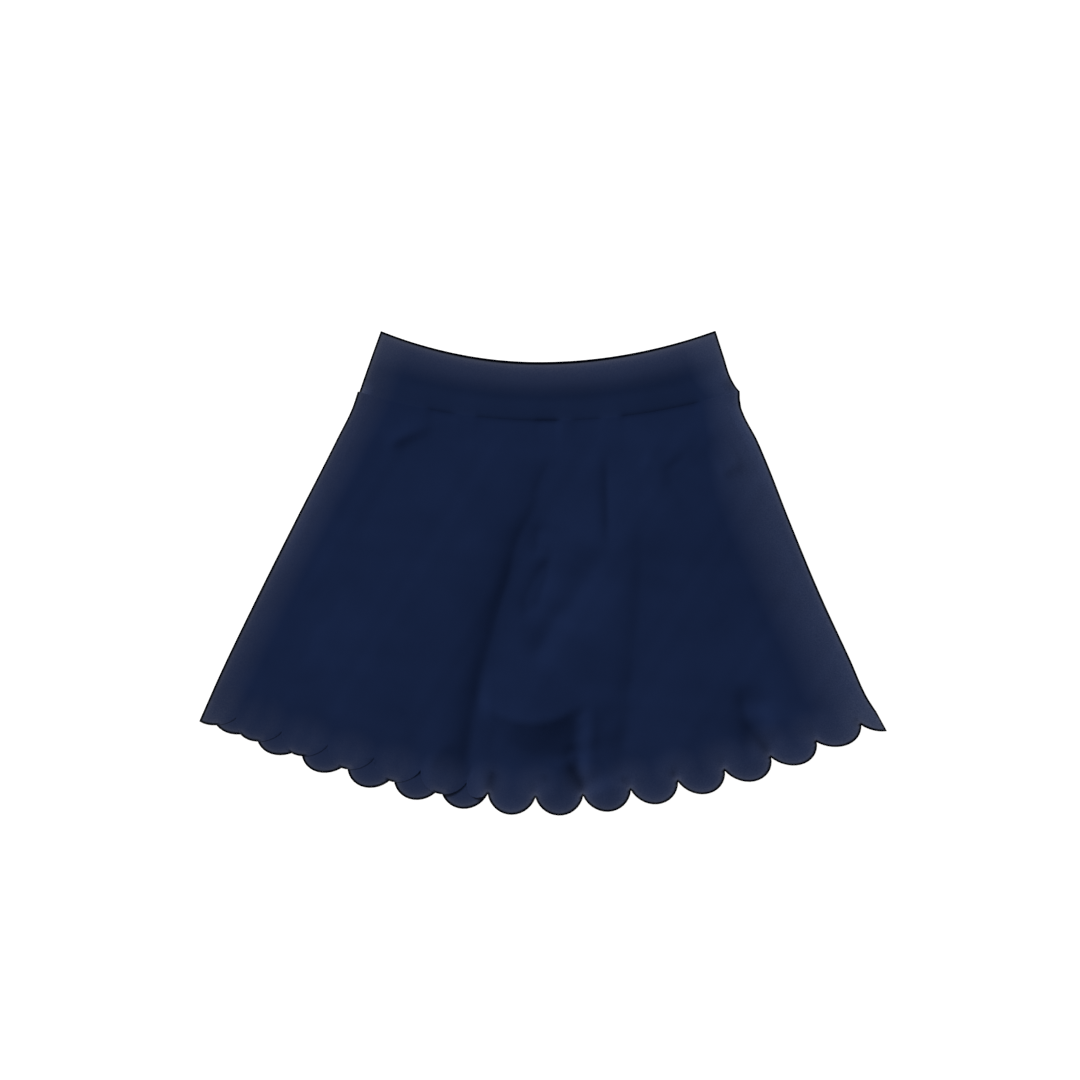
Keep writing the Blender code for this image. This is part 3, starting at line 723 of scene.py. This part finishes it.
def shell(
    name, points, faces, uvs, wall, material,
    painted_glow_colour=None, nearest=None, wall_share=None, light=1.0,
):
    mesh = bpy.data.meshes.new(name)
    mesh.from_pydata([tuple(map(float, p)) for p in points], [], faces)
    uv_layer = mesh.uv_layers.new(name="cut")
    corner_points = np.empty(len(mesh.loops), dtype=np.int32)
    mesh.loops.foreach_get("vertex_index", corner_points)
    uv_layer.data.foreach_set("uv", np.asarray(uvs, dtype=np.float32)[corner_points].ravel())

    count = len(points)
    painted_glow_colours = np.zeros((count, 4), dtype=np.float32)
    painted_shade_factors = np.ones(count, dtype=np.float32)
    # Painted light: the painted glow near the outline and the painted rim shade, both scaled by the
    # painted light and shade in light.
    if painted_glow_colour is not None:
        inside, light = rim_share(nearest).reshape(-1), np.ravel(light)
        painted_glow_colours[:, :3] = painted_glow_colour.reshape(-1, 3) * (inside * light)[:, None]
        painted_shade_factors[:] = (RIM_SHADE + (1 - RIM_SHADE) * inside) * light
    painted_glow_colours[:, 3] = 1.0
    mesh.attributes.new("painted_glow", "FLOAT_COLOR", "POINT").data.foreach_set("color", painted_glow_colours.ravel())
    mesh.attributes.new("painted_shade", "FLOAT", "POINT").data.foreach_set("value", painted_shade_factors)
    mesh.materials.append(material)
    mesh.shade_smooth()

    piece = bpy.data.objects.new(name, mesh)
    bpy.context.scene.collection.objects.link(piece)
    thicken = piece.modifiers.new("wall", "SOLIDIFY")
    thicken.thickness = wall
    thicken.offset = 1.0
    if wall_share is not None:
        group = piece.vertex_groups.new(name="wall")
        for index, share in enumerate(np.asarray(wall_share).reshape(-1)):
            group.add([index], float(share), "REPLACE")
        thicken.vertex_group = "wall"
    soften = piece.modifiers.new("edge", "BEVEL")
    soften.width = EDGE_ROUND
    soften.segments = 2
    soften.limit_method = "ANGLE"
    soften.angle_limit = EDGE_ANGLE
    print(name, count, "points,", len(faces), "faces")
    return piece


def grid_faces(rows, columns):
    faces = []
    for row in range(rows - 1):
        for column in range(columns - 1):
            a = row * columns + column
            faces.append((a, a + columns, a + columns + 1, a + 1))
    return faces


def grid_uvs(plan):
    """Real distances over the grid: u across from the middle, v down from the top row."""
    across = np.cumsum(np.linalg.norm(np.diff(plan, axis=1, prepend=plan[:, :1]), axis=-1), axis=1)
    down = np.cumsum(np.linalg.norm(np.diff(plan, axis=0, prepend=plan[:1]), axis=-1), axis=0)
    middle = across[:, across.shape[1] // 2][:, None]
    return np.stack((across - middle, -down), axis=-1)


def sheet_shell(
    name, plan, heights, wall, material, painted_glow_colour, nearest, wall_share=None, light=1.0
):
    rows, columns = plan.shape[:2]
    points = np.concatenate((plan, heights[..., None]), axis=-1).reshape(-1, 3)
    uvs = grid_uvs(plan).reshape(-1, 2)
    faces = grid_faces(rows, columns)
    return shell(name, points, faces, uvs, wall, material, painted_glow_colour, nearest, wall_share, light)


# %% [markdown]
# ## The knit
# Jersey is rows of small V-shaped stitches in upright columns. At arm's length they
# blend into a smooth matt surface, so the stitches are a fine bump at their real size,
# with a soft mottling in colour and no gloss. The two attributes add a painted glow of light
# towards the cloth's edges, made grainy by a fine noise, and multiply in painted shade at its rim
# and painted light and shade elsewhere. The cut edge itself, which shows from beside, keeps most of
# the knit's colour.

# %% Knit material
NAVY = (0.0076, 0.0149, 0.0457)
BAND_NAVY = (0.0082, 0.0157, 0.0460)
SHORTS_NAVY = (0.0076, 0.0148, 0.0450)
WALE = 0.00062
COURSE = 0.00048
STITCH_SLANT = 1.4  # rises this many courses over half a wale
STITCH_ROUND = 1.2  # and stands this much higher at its middle
MOTTLE_SCALE = 22.0
FIBRE_SCALE = 900.0
NOISE_RANGE = (0.3, 0.7)
MOTTLE_TONES = (0.95, 1.05)
STITCH_TONES = (0.91, 1.08)
FUZZ_TONES = (0.7, 1.3)
BUMP_STRENGTH = 0.35
FIBRE_BUMP = 0.5
CUT_EDGE_SHADE = 0.8
STEEP_WALL = 0.5  # a face whose normal rises less than this is the cut edge


def knit_material(name, navy, roughness, stitch_depth):
    material = bpy.data.materials.new(name)
    material.use_nodes = True
    tree = material.node_tree
    nodes, links = tree.nodes, tree.links
    shader = nodes["Principled BSDF"]
    shader.inputs["Roughness"].default_value = roughness
    shader.inputs["Specular IOR Level"].default_value = 0.0

    def maths(kind, first, second=None):
        node = nodes.new("ShaderNodeMath")
        node.operation = kind
        for socket, value in zip(node.inputs, (first, second)):
            if isinstance(value, (int, float)):
                socket.default_value = value
            elif value is not None:
                links.new(value, socket)
        return node.outputs[0]

    def noise(scale, detail):
        node = nodes.new("ShaderNodeTexNoise")
        node.inputs["Scale"].default_value = scale
        node.inputs["Detail"].default_value = detail
        links.new(place.outputs["Object"], node.inputs["Vector"])
        return node.outputs["Fac"]

    def spread(value, taken, given):
        node = nodes.new("ShaderNodeMapRange")
        sockets = ("From Min", "From Max", "To Min", "To Max")
        for socket, number in zip(sockets, (*taken, *given)):
            node.inputs[socket].default_value = number
        links.new(value, node.inputs["Value"])
        return node.outputs[0]

    def scaled(colour, factor):
        node = nodes.new("ShaderNodeVectorMath")
        node.operation = "SCALE"
        if isinstance(colour, tuple):
            node.inputs[0].default_value = colour
        else:
            links.new(colour, node.inputs[0])
        links.new(factor, node.inputs["Scale"])
        return node.outputs[0]

    def stored(attribute):
        node = nodes.new("ShaderNodeAttribute")
        node.attribute_name = attribute
        return node

    uv = nodes.new("ShaderNodeUVMap")
    uv.uv_map = "cut"
    split = nodes.new("ShaderNodeSeparateXYZ")
    links.new(uv.outputs["UV"], split.inputs[0])
    in_wale = maths("PINGPONG", maths("DIVIDE", split.outputs["X"], WALE), 0.5)
    course = maths("DIVIDE", split.outputs["Y"], COURSE)
    slanted = maths("ADD", course, maths("MULTIPLY", in_wale, STITCH_SLANT))
    yarn = maths("PINGPONG", slanted, 0.5)
    stitch = maths("ADD", yarn, maths("MULTIPLY", in_wale, STITCH_ROUND))

    place = nodes.new("ShaderNodeTexCoord")
    mottle = spread(noise(MOTTLE_SCALE, 3.0), NOISE_RANGE, MOTTLE_TONES)
    fibres = noise(FIBRE_SCALE, 2.0)
    tone = spread(stitch, (0.0, 1.0), STITCH_TONES)
    facing = nodes.new("ShaderNodeSeparateXYZ")
    links.new(nodes.new("ShaderNodeNewGeometry").outputs["True Normal"], facing.inputs[0])
    on_wall = maths("LESS_THAN", maths("ABSOLUTE", facing.outputs["Z"]), STEEP_WALL)
    # Painted shade stored on the mesh, lifted on the cut edge's wall.
    painted_shade = maths("MAXIMUM", stored("painted_shade").outputs["Fac"], maths("MULTIPLY", on_wall, CUT_EDGE_SHADE))
    tone_and_painted_shade = maths("MULTIPLY", maths("MULTIPLY", mottle, tone), painted_shade)
    fuzz = spread(fibres, NOISE_RANGE, FUZZ_TONES)
    colour = nodes.new("ShaderNodeVectorMath")
    colour.operation = "ADD"
    links.new(scaled(navy, tone_and_painted_shade), colour.inputs[0])
    # Painted glow of light near the outline, made grainy by the fibre noise.
    links.new(scaled(stored("painted_glow").outputs["Color"], fuzz), colour.inputs[1])
    links.new(colour.outputs[0], shader.inputs["Base Color"])

    bump = nodes.new("ShaderNodeBump")
    bump.inputs["Strength"].default_value = BUMP_STRENGTH
    bump.inputs["Distance"].default_value = stitch_depth
    relief = maths("ADD", stitch, maths("MULTIPLY", fibres, FIBRE_BUMP))
    links.new(relief, bump.inputs["Height"])
    links.new(bump.outputs[0], shader.inputs["Normal"])
    return material


SKIRT_KNIT = knit_material("skirt_knit_fine", NAVY, 0.70, 0.00006)
BAND_KNIT = knit_material("band_knit_fine", BAND_NAVY, 0.72, 0.00007)
SHORTS_KNIT = knit_material("shorts_knit_fine", SHORTS_NAVY, 0.75, 0.00006)
print("knit: wale", WALE, "course", COURSE)

# %% [markdown]
# ## The skirt's panels
# A panel's grid starts as rows between the waist seam and the line of the notches. Its
# columns end at the points of the scallops, and the last rows fill the scallops out.
# Columns are drawn together where the main fold gathers the cloth, and rows and columns
# crowd together at the edges, where the painted glow and the painted rim shade need them.

# %% Panel grids
FRONT_SPACING = 0.0034
BACK_SPACING = 0.0120
TYPICAL_LENGTH = 0.33
SCALLOP_REACH = 0.024
SCALLOP_SPACING = 0.0028
INNER_ABOVE_NOTCH = 0.0060


def column_shares(spread, fold_follows):
    """Where on the waist seam each column of the hem starts, as a share of the seam."""
    seam_left, seam_right = LEFT_SIDE[0][1], RIGHT_SIDE[0][1]
    hems, seams = [spread[0], spread[-1]], [seam_left, seam_right]
    if fold_follows:
        hems.insert(1, (FOLD_LEFT_NOTCH_X + FOLD_RIGHT_NOTCH_X) / 2)
        seams.insert(1, FOLD_COLUMN_SEAM_X)
    at = np.interp(spread, hems, seams)
    return (at - seam_left) / (seam_right - seam_left)


def panel_plan(edge, spread, left_hem, spacing, fold_follows):
    """The grid in plan, from the waist seam to the scalloped edge."""
    inner_y = hem_y(spread, left_hem) + INNER_ABOVE_NOTCH
    left, right = along(LEFT_SIDE, inner_y), along(RIGHT_SIDE, inner_y)
    low = (spread - left) / (right - left)
    low = (low - low[0]) / (low[-1] - low[0])
    high = column_shares(spread, fold_follows)
    grid = []
    for row in graded(TYPICAL_LENGTH, spacing, True, False):
        share = mix(high, low, row)
        x = mix(LEFT_SIDE[0][1], RIGHT_SIDE[0][1], share)
        for _ in range(PLACE_ROUNDS):
            y = mix(seam_y(x) + SEAM_TUCK, inner_y, row)
            x = mix(along(LEFT_SIDE, y), along(RIGHT_SIDE, y), share)
        grid.append(np.stack((x, y), axis=-1))
    inner = grid[-1]
    for row in graded(SCALLOP_REACH, SCALLOP_SPACING, False, True)[1:]:
        grid.append(mix(inner, edge, row))
    return np.array(grid)


# %% How far a point is from a hem
def to_hem(plan, edge):
    """The distance of each grid point to the scalloped edge, and whether it is inside it."""
    points = plan.reshape(-1, 2)
    nearest = np.full(len(points), np.inf)
    crossings = np.zeros(len(points), dtype=int)
    for start, end in zip(edge[:-1], edge[1:]):
        span = end - start
        share = np.clip((points - start) @ span / (span @ span), 0, 1)
        apart = points - start - share[:, None] * span
        nearest = np.minimum(nearest, np.hypot(apart[:, 0], apart[:, 1]))
        beside = (start[0] <= points[:, 0]) != (end[0] <= points[:, 0])
        at_y = start[1] + (points[:, 0] - start[0]) * span[1] / (span[0] if span[0] else 1.0)
        crossings += beside & (at_y < points[:, 1])
    return nearest.reshape(plan.shape[:2]), (crossings % 2 == 1).reshape(plan.shape[:2])


def panel_painted_glow(plan, own_edge, other_edge):
    """Painted glow and distance to the garment's outline, where two hems lie on each other."""
    x, y = plan[..., 0], plan[..., 1]
    from_hem, _ = to_hem(plan, own_edge)
    if other_edge is not None:
        from_other, covered = to_hem(plan, other_edge)
        from_hem = np.where(covered, np.maximum(from_hem, from_other), from_hem)
    from_left, from_right = (np.maximum(room, 0) for room in side_rooms(x, y))
    parts = [side_painted_glow("left", from_left, y), side_painted_glow("right", from_right, y)]
    from_side = np.minimum(from_left, from_right) * SIDE_RIM_SHARE
    return together([*parts, hem_painted_glow(x, from_hem)]), np.minimum(from_side, from_hem)


# %% How the front's hem lies on the back
# Columns: left of x, fades in over, reaches above the notches, share of the height.
PRESSES = ((-0.0560, 0.0200, 0.0420, 0.6), (-0.0800, 0.0500, 0.0800, 1.0))
PRESSED_GAP = 0.00005
PRESSED_WALL_SHARE = 0.15
WALL_REACH = 0.0350


def pressed(plan, heights):
    """The front's heights and wall share: flat on the back at its left hem, thin at the seam."""
    x, y = plan[..., 0], plan[..., 1]
    above_notches = y - hem_y(x, FRONT_LEFT_HEM)

    def near_hem(start, fade, reach):
        return ease((start - x) / fade) * (1 - ease(above_notches / reach))

    share = np.maximum(*(most * near_hem(*place) for *place, most in PRESSES))
    thin = (1 - PRESSED_WALL_SHARE) * near_hem(*PRESSES[0][:2], WALL_REACH)
    wall = 1 - thin - seam_thins(x, seam_y(x) - y, SEAM_ROLLS[1]) / SKIRT_WALL
    return heights * (1 - share) + (SKIRT_WALL + PRESSED_GAP) * share, wall


# %% The two panels
FRONT_PLAN = panel_plan(FRONT_EDGE, FRONT_SPREAD, FRONT_LEFT_HEM, FRONT_SPACING, True)
front_x, front_y = FRONT_PLAN[..., 0], FRONT_PLAN[..., 1]
front_heights, front_wall_share = pressed(FRONT_PLAN, skirt_front_z(front_x, front_y))
# Painted light and shade on the front: at the stitches, at the sides and in the strokes.
front_painted_light = seam_painted_light(front_x, seam_y(front_x) - front_y)
front_painted_light = front_painted_light * painted_side_light(front_x, front_y) * after_painted_strokes(front_x, front_y)
skirt_front = sheet_shell(
    "skirt_front_cloth", FRONT_PLAN, front_heights, SKIRT_WALL, SKIRT_KNIT,
    *panel_painted_glow(FRONT_PLAN, FRONT_EDGE, BACK_EDGE), front_wall_share, front_painted_light,
)
BACK_PLAN = panel_plan(BACK_EDGE, BACK_SPREAD, BACK_LEFT_HEM, BACK_SPACING, False)
skirt_back = sheet_shell(
    "skirt_back_cloth", BACK_PLAN, np.zeros(BACK_PLAN.shape[:2]), SKIRT_WALL, SKIRT_KNIT,
    *panel_painted_glow(BACK_PLAN, BACK_EDGE, None),
)

# %% [markdown]
# ## The waistband
# The band is a tube of double knit with an elastic inside. Laid flat it is two layers.
# Its face swells over the elastic and comes down to the skirt at the seam, where the
# wall thins so that band and skirt meet at one height, also at the corners.

# %% Band grids
# Columns: share of the way down, lift.
BAND_PROFILE = (
    (0.0, 0.0000),
    (0.12, 0.0008),
    (0.36, 0.0015),
    (0.70, 0.0003),
    (0.90, 0.0005),
    (1.0, 0.0007),
)
BAND_HEIGHT = 0.058
BAND_WIDTH = 0.34
BAND_SPACING = 0.0020
BAND_THINS_FROM = 0.72
LEAST_WALL_SHARE = 0.05

BAND_ROWS = graded(BAND_HEIGHT, BAND_SPACING)
BAND_COLUMNS = graded(BAND_WIDTH, BAND_SPACING)


def band_plan(rise):
    plan = []
    for share in BAND_ROWS:
        y = np.full_like(BAND_COLUMNS, SEAM_CORNER_Y)
        for _ in range(PLACE_ROUNDS):
            x = mix(along(BAND_LEFT, y), along(BAND_RIGHT, y), BAND_COLUMNS)
            top = waist_y(x) + rise * (1 - (2 * BAND_COLUMNS - 1) ** 2)
            y = mix(top, seam_y(x), share)
        plan.append(np.stack((x, y), axis=-1))
    return np.array(plan)


def band_painted_glow(plan):
    x, y = plan[..., 0], plan[..., 1]
    from_top = np.abs(y - plan[:1, :, 1])
    rooms = side_rooms(x, y, BAND_LEFT, BAND_RIGHT)
    from_left, from_right = (np.maximum(room, 0) for room in rooms)
    places = {"left": from_left, "right": from_right, "top": from_top}
    parts = [side_painted_glow(side, distance, y) for side, distance in places.items()]
    return together(parts), np.minimum(np.minimum(from_left, from_right), from_top)


def band_front_form(plan):
    """The underside of the front half, and the share of the wall that is left over it."""
    swell = 1 - (2 * BAND_COLUMNS - 1) ** 6
    under = BAND_WALL + GAP + along(BAND_PROFILE, BAND_ROWS)[:, None] * swell
    x = plan[-1, :, 0]
    meets = skirt_front_z(x, seam_y(x)) + SKIRT_WALL
    wall_at_seam = np.clip((meets - under[-1]) / BAND_WALL, LEAST_WALL_SHARE, 1)
    thinned = ease((BAND_ROWS - BAND_THINS_FROM) / (1 - BAND_THINS_FROM))[:, None]
    roll = seam_thins(plan[..., 0], plan[..., 1] - plan[-1:, :, 1], SEAM_ROLLS[0]) / BAND_WALL
    return under, np.clip(1 + (wall_at_seam - 1) * thinned - roll, LEAST_WALL_SHARE, 1)


FRONT_BAND_PLAN = band_plan(0.0)
band_under, band_wall_share = band_front_form(FRONT_BAND_PLAN)
waistband_front = sheet_shell(
    "waistband_front_cloth", FRONT_BAND_PLAN, band_under, BAND_WALL, BAND_KNIT,
    *band_painted_glow(FRONT_BAND_PLAN), band_wall_share,
    seam_painted_light(FRONT_BAND_PLAN[..., 0], FRONT_BAND_PLAN[..., 1] - FRONT_BAND_PLAN[-1:, :, 1]),
)
BACK_BAND_PLAN = band_plan(BACK_WAIST_RISE)
waistband_back = sheet_shell(
    "waistband_back_cloth", BACK_BAND_PLAN, np.zeros(BACK_BAND_PLAN.shape[:2]), BAND_WALL,
    BAND_KNIT, *band_painted_glow(BACK_BAND_PLAN),
)

# %% [markdown]
# ## The shorts inside
# The shorts hang from the same seam and only print through the skirt. Each leg is one
# cut of cloth folded at its outer side: open along the centre seam, closed below the
# crotch. They are finished plainly, in the same knit.

# %% Legs
SHORTS_ROWS = 36
SHORTS_COLUMNS = 40


def shorts_front_lift(x, y):
    steps = [SHORTS_CLEAR * share for share in (-1, -0.5, 0, 0.5, 1)]
    around = [lift(x + dx, y + dy) for dx in steps for dy in steps]
    return SHORTS_FOLLOW * np.minimum.reduce(around)


def leg_edges(side, share):
    """The outer and inner x of a leg at a share of the way down."""
    past_crotch = max(0.0, share - CROTCH_SHARE) / (1 - CROTCH_SHARE)
    hem_gap = mix(CROTCH_GAP, INSEAM_HEM_GAP, past_crotch)
    inner_gap = GAP / 2 if share < CROTCH_SHARE else hem_gap
    middle_y = SEAM_CORNER_Y - SEAM_DIP
    outer = CENTRE_X + side * float(shorts_half(mix(middle_y, SHORTS_HEM_Y, share)))
    return outer, CENTRE_X + side * inner_gap


def leg_shell(name, side):
    shares = sorted([step / SHORTS_ROWS for step in range(SHORTS_ROWS + 1)] + [CROTCH_SHARE])
    crotch_row = shares.index(CROTCH_SHARE)
    back_z = SKIRT_WALL + GAP + SHORTS_WALL
    points, uvs = [], []
    for share in shares:
        outer, inner = leg_edges(side, share)
        x = np.linspace(inner, outer, SHORTS_COLUMNS)
        y = mix(seam_y(x) - GAP, shorts_hem_y(x), share)
        z = back_z + GAP + shorts_front_lift(x, y)
        ring = list(zip(x, y, z))
        ring.append((outer + side * GAP / 2, y[-1], (z[-1] + back_z) / 2))
        ring += [(a, b, back_z) for a, b in zip(x[::-1], y[::-1])]
        ring.append((inner - side * GAP / 2, y[0], (z[0] + back_z) / 2))
        points += ring
        steps = np.diff(np.array(ring), axis=0, prepend=[ring[0]])
        girth = np.cumsum(np.linalg.norm(steps, axis=-1))
        uvs += [(u, p[1]) for u, p in zip(girth, ring)]
    count = 2 * SHORTS_COLUMNS + 2
    faces = []
    for row in range(len(shares) - 1):
        for column in range(count):
            if column >= count - 2 and row < crotch_row:
                continue
            a, b = row * count + column, row * count + (column + 1) % count
            quad = (a, a + count, b + count, b)
            faces.append(quad if side > 0 else quad[::-1])
    used = sorted({index for face in faces for index in face})
    place = {old: new for new, old in enumerate(used)}
    points = [points[index] for index in used]
    uvs = [uvs[index] for index in used]
    faces = [tuple(place[index] for index in face) for face in faces]
    return shell(name, points, faces, uvs, SHORTS_WALL, SHORTS_KNIT)


shorts_left = leg_shell("shorts_left_cloth", -1)
shorts_right = leg_shell("shorts_right_cloth", 1)

# %% [markdown]
# ## Stage, light and camera
# The garment lies on a white table in a bright room. Low, broad daylight from beyond the
# waist and to its left makes the folds show, as a sun lamp with a wide angle. The table
# glows a little, so that it stays as white as a studio sheet even in a fold's shadow.
# The camera looks straight down from far enough to keep the outline true.

# %% Table, daylight, room
DAYLIGHT_HEIGHT = math.radians(20)
DAYLIGHT_FROM = math.radians(135)
DAYLIGHT_SPREAD = math.radians(18)
DAYLIGHT_AWAY = 3.0
ROOM_SHARE = 0.32
TABLE_HALF = 6.0
TABLE_DROP = 0.0002
TABLE_GREY = 0.25
TABLE_ROUGHNESS = 0.9
TABLE_GLOW = 0.97


def white_table():
    half = TABLE_HALF
    mesh = bpy.data.meshes.new("table")
    corners = [(-half, -half, 0), (half, -half, 0), (half, half, 0), (-half, half, 0)]
    mesh.from_pydata(corners, [], [(0, 1, 2, 3)])
    table = bpy.data.objects.new("table", mesh)
    table.location.z = -TABLE_DROP
    bpy.context.scene.collection.objects.link(table)
    paint = bpy.data.materials.new("table_white")
    paint.use_nodes = True
    shader = paint.node_tree.nodes["Principled BSDF"]
    shader.inputs["Base Color"].default_value = (TABLE_GREY, TABLE_GREY, TABLE_GREY, 1)
    shader.inputs["Roughness"].default_value = TABLE_ROUGHNESS
    shader.inputs["Specular IOR Level"].default_value = 0.0
    shader.inputs["Emission Color"].default_value = (1, 1, 1, 1)
    shader.inputs["Emission Strength"].default_value = TABLE_GLOW
    mesh.materials.append(paint)


def daylight():
    """Broad light, as strong as brings a flat white surface to full white with the room's."""
    light = bpy.data.lights.new("daylight", "SUN")
    light.angle = DAYLIGHT_SPREAD
    light.energy = (1 - ROOM_SHARE) * math.pi / math.sin(DAYLIGHT_HEIGHT)
    lamp = bpy.data.objects.new("daylight", light)
    level = math.cos(DAYLIGHT_HEIGHT)
    across = (level * math.cos(DAYLIGHT_FROM), level * math.sin(DAYLIGHT_FROM))
    come_from = Vector((*across, math.sin(DAYLIGHT_HEIGHT)))
    lamp.location = come_from * DAYLIGHT_AWAY
    lamp.rotation_euler = (-come_from).to_track_quat("-Z", "Y").to_euler()
    bpy.context.scene.collection.objects.link(lamp)


white_table()
daylight()
room = bpy.data.worlds.new("room")
room.use_nodes = True
room.node_tree.nodes["Background"].inputs["Color"].default_value = (1, 1, 1, 1)
room.node_tree.nodes["Background"].inputs["Strength"].default_value = ROOM_SHARE
bpy.context.scene.world = room
bpy.context.scene.view_settings.view_transform = "Standard"
bpy.context.scene.view_settings.look = "None"

# %% Camera
PIXEL = 0.000957
PHOTO_SIDE = 1080
PHOTO_MIDDLE = (543.5, 572.25)  # the photo's pixel that lies over the origin
LENS = 85.0
SENSOR = 36.0
CLOTH_HEIGHT = 0.006  # the photo's scale is true at this height

frame_width = PIXEL * PHOTO_SIDE
camera_data = bpy.data.cameras.new("camera")
camera_data.lens = LENS
camera_data.sensor_width = SENSOR
camera = bpy.data.objects.new("camera", camera_data)
camera.location = (
    (PHOTO_SIDE / 2 - PHOTO_MIDDLE[0]) * PIXEL,
    (PHOTO_MIDDLE[1] - PHOTO_SIDE / 2) * PIXEL,
    frame_width * LENS / SENSOR + CLOTH_HEIGHT,
)
bpy.context.scene.collection.objects.link(camera)
bpy.context.scene.camera = camera
print("camera height:", round(camera.location.z, 3))

# %% [markdown]
# ## What each piece stands for
# The shells replace the solids one for one and lie still on the one body. Each row of the
# table also lists the size of a piece's cut cloth before sewing.

# %% Pieces, bodies and cuts
# Columns: width, length, area.
SKIRT_CUT = (0.680, 0.400, 0.190)
BAND_CUT = (0.365, 0.088, 0.0205)
SHORTS_CUT = (0.382, 0.295, 0.102)
BOTH_LEGS = ["shorts_left_cloth", "shorts_right_cloth"]
# Columns: piece, node, slot, cut, rests on.
PIECES = (
    (skirt_front, "skirt_front", "skirt_knit", SKIRT_CUT, BOTH_LEGS),
    (skirt_back, "skirt_back", "skirt_knit", SKIRT_CUT, []),
    (waistband_front, "waistband_front", "band_knit", BAND_CUT, ["waistband_back_cloth"]),
    (waistband_back, "waistband_back", "band_knit", BAND_CUT, []),
    (shorts_left, "shorts_left", "shorts_knit", SHORTS_CUT, ["skirt_back_cloth"]),
    (shorts_right, "shorts_right", "shorts_knit", SHORTS_CUT, ["skirt_back_cloth"]),
)
for piece, node, slot_name, (width, length, area), under in PIECES:
    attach(piece, "root")
    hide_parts(node)
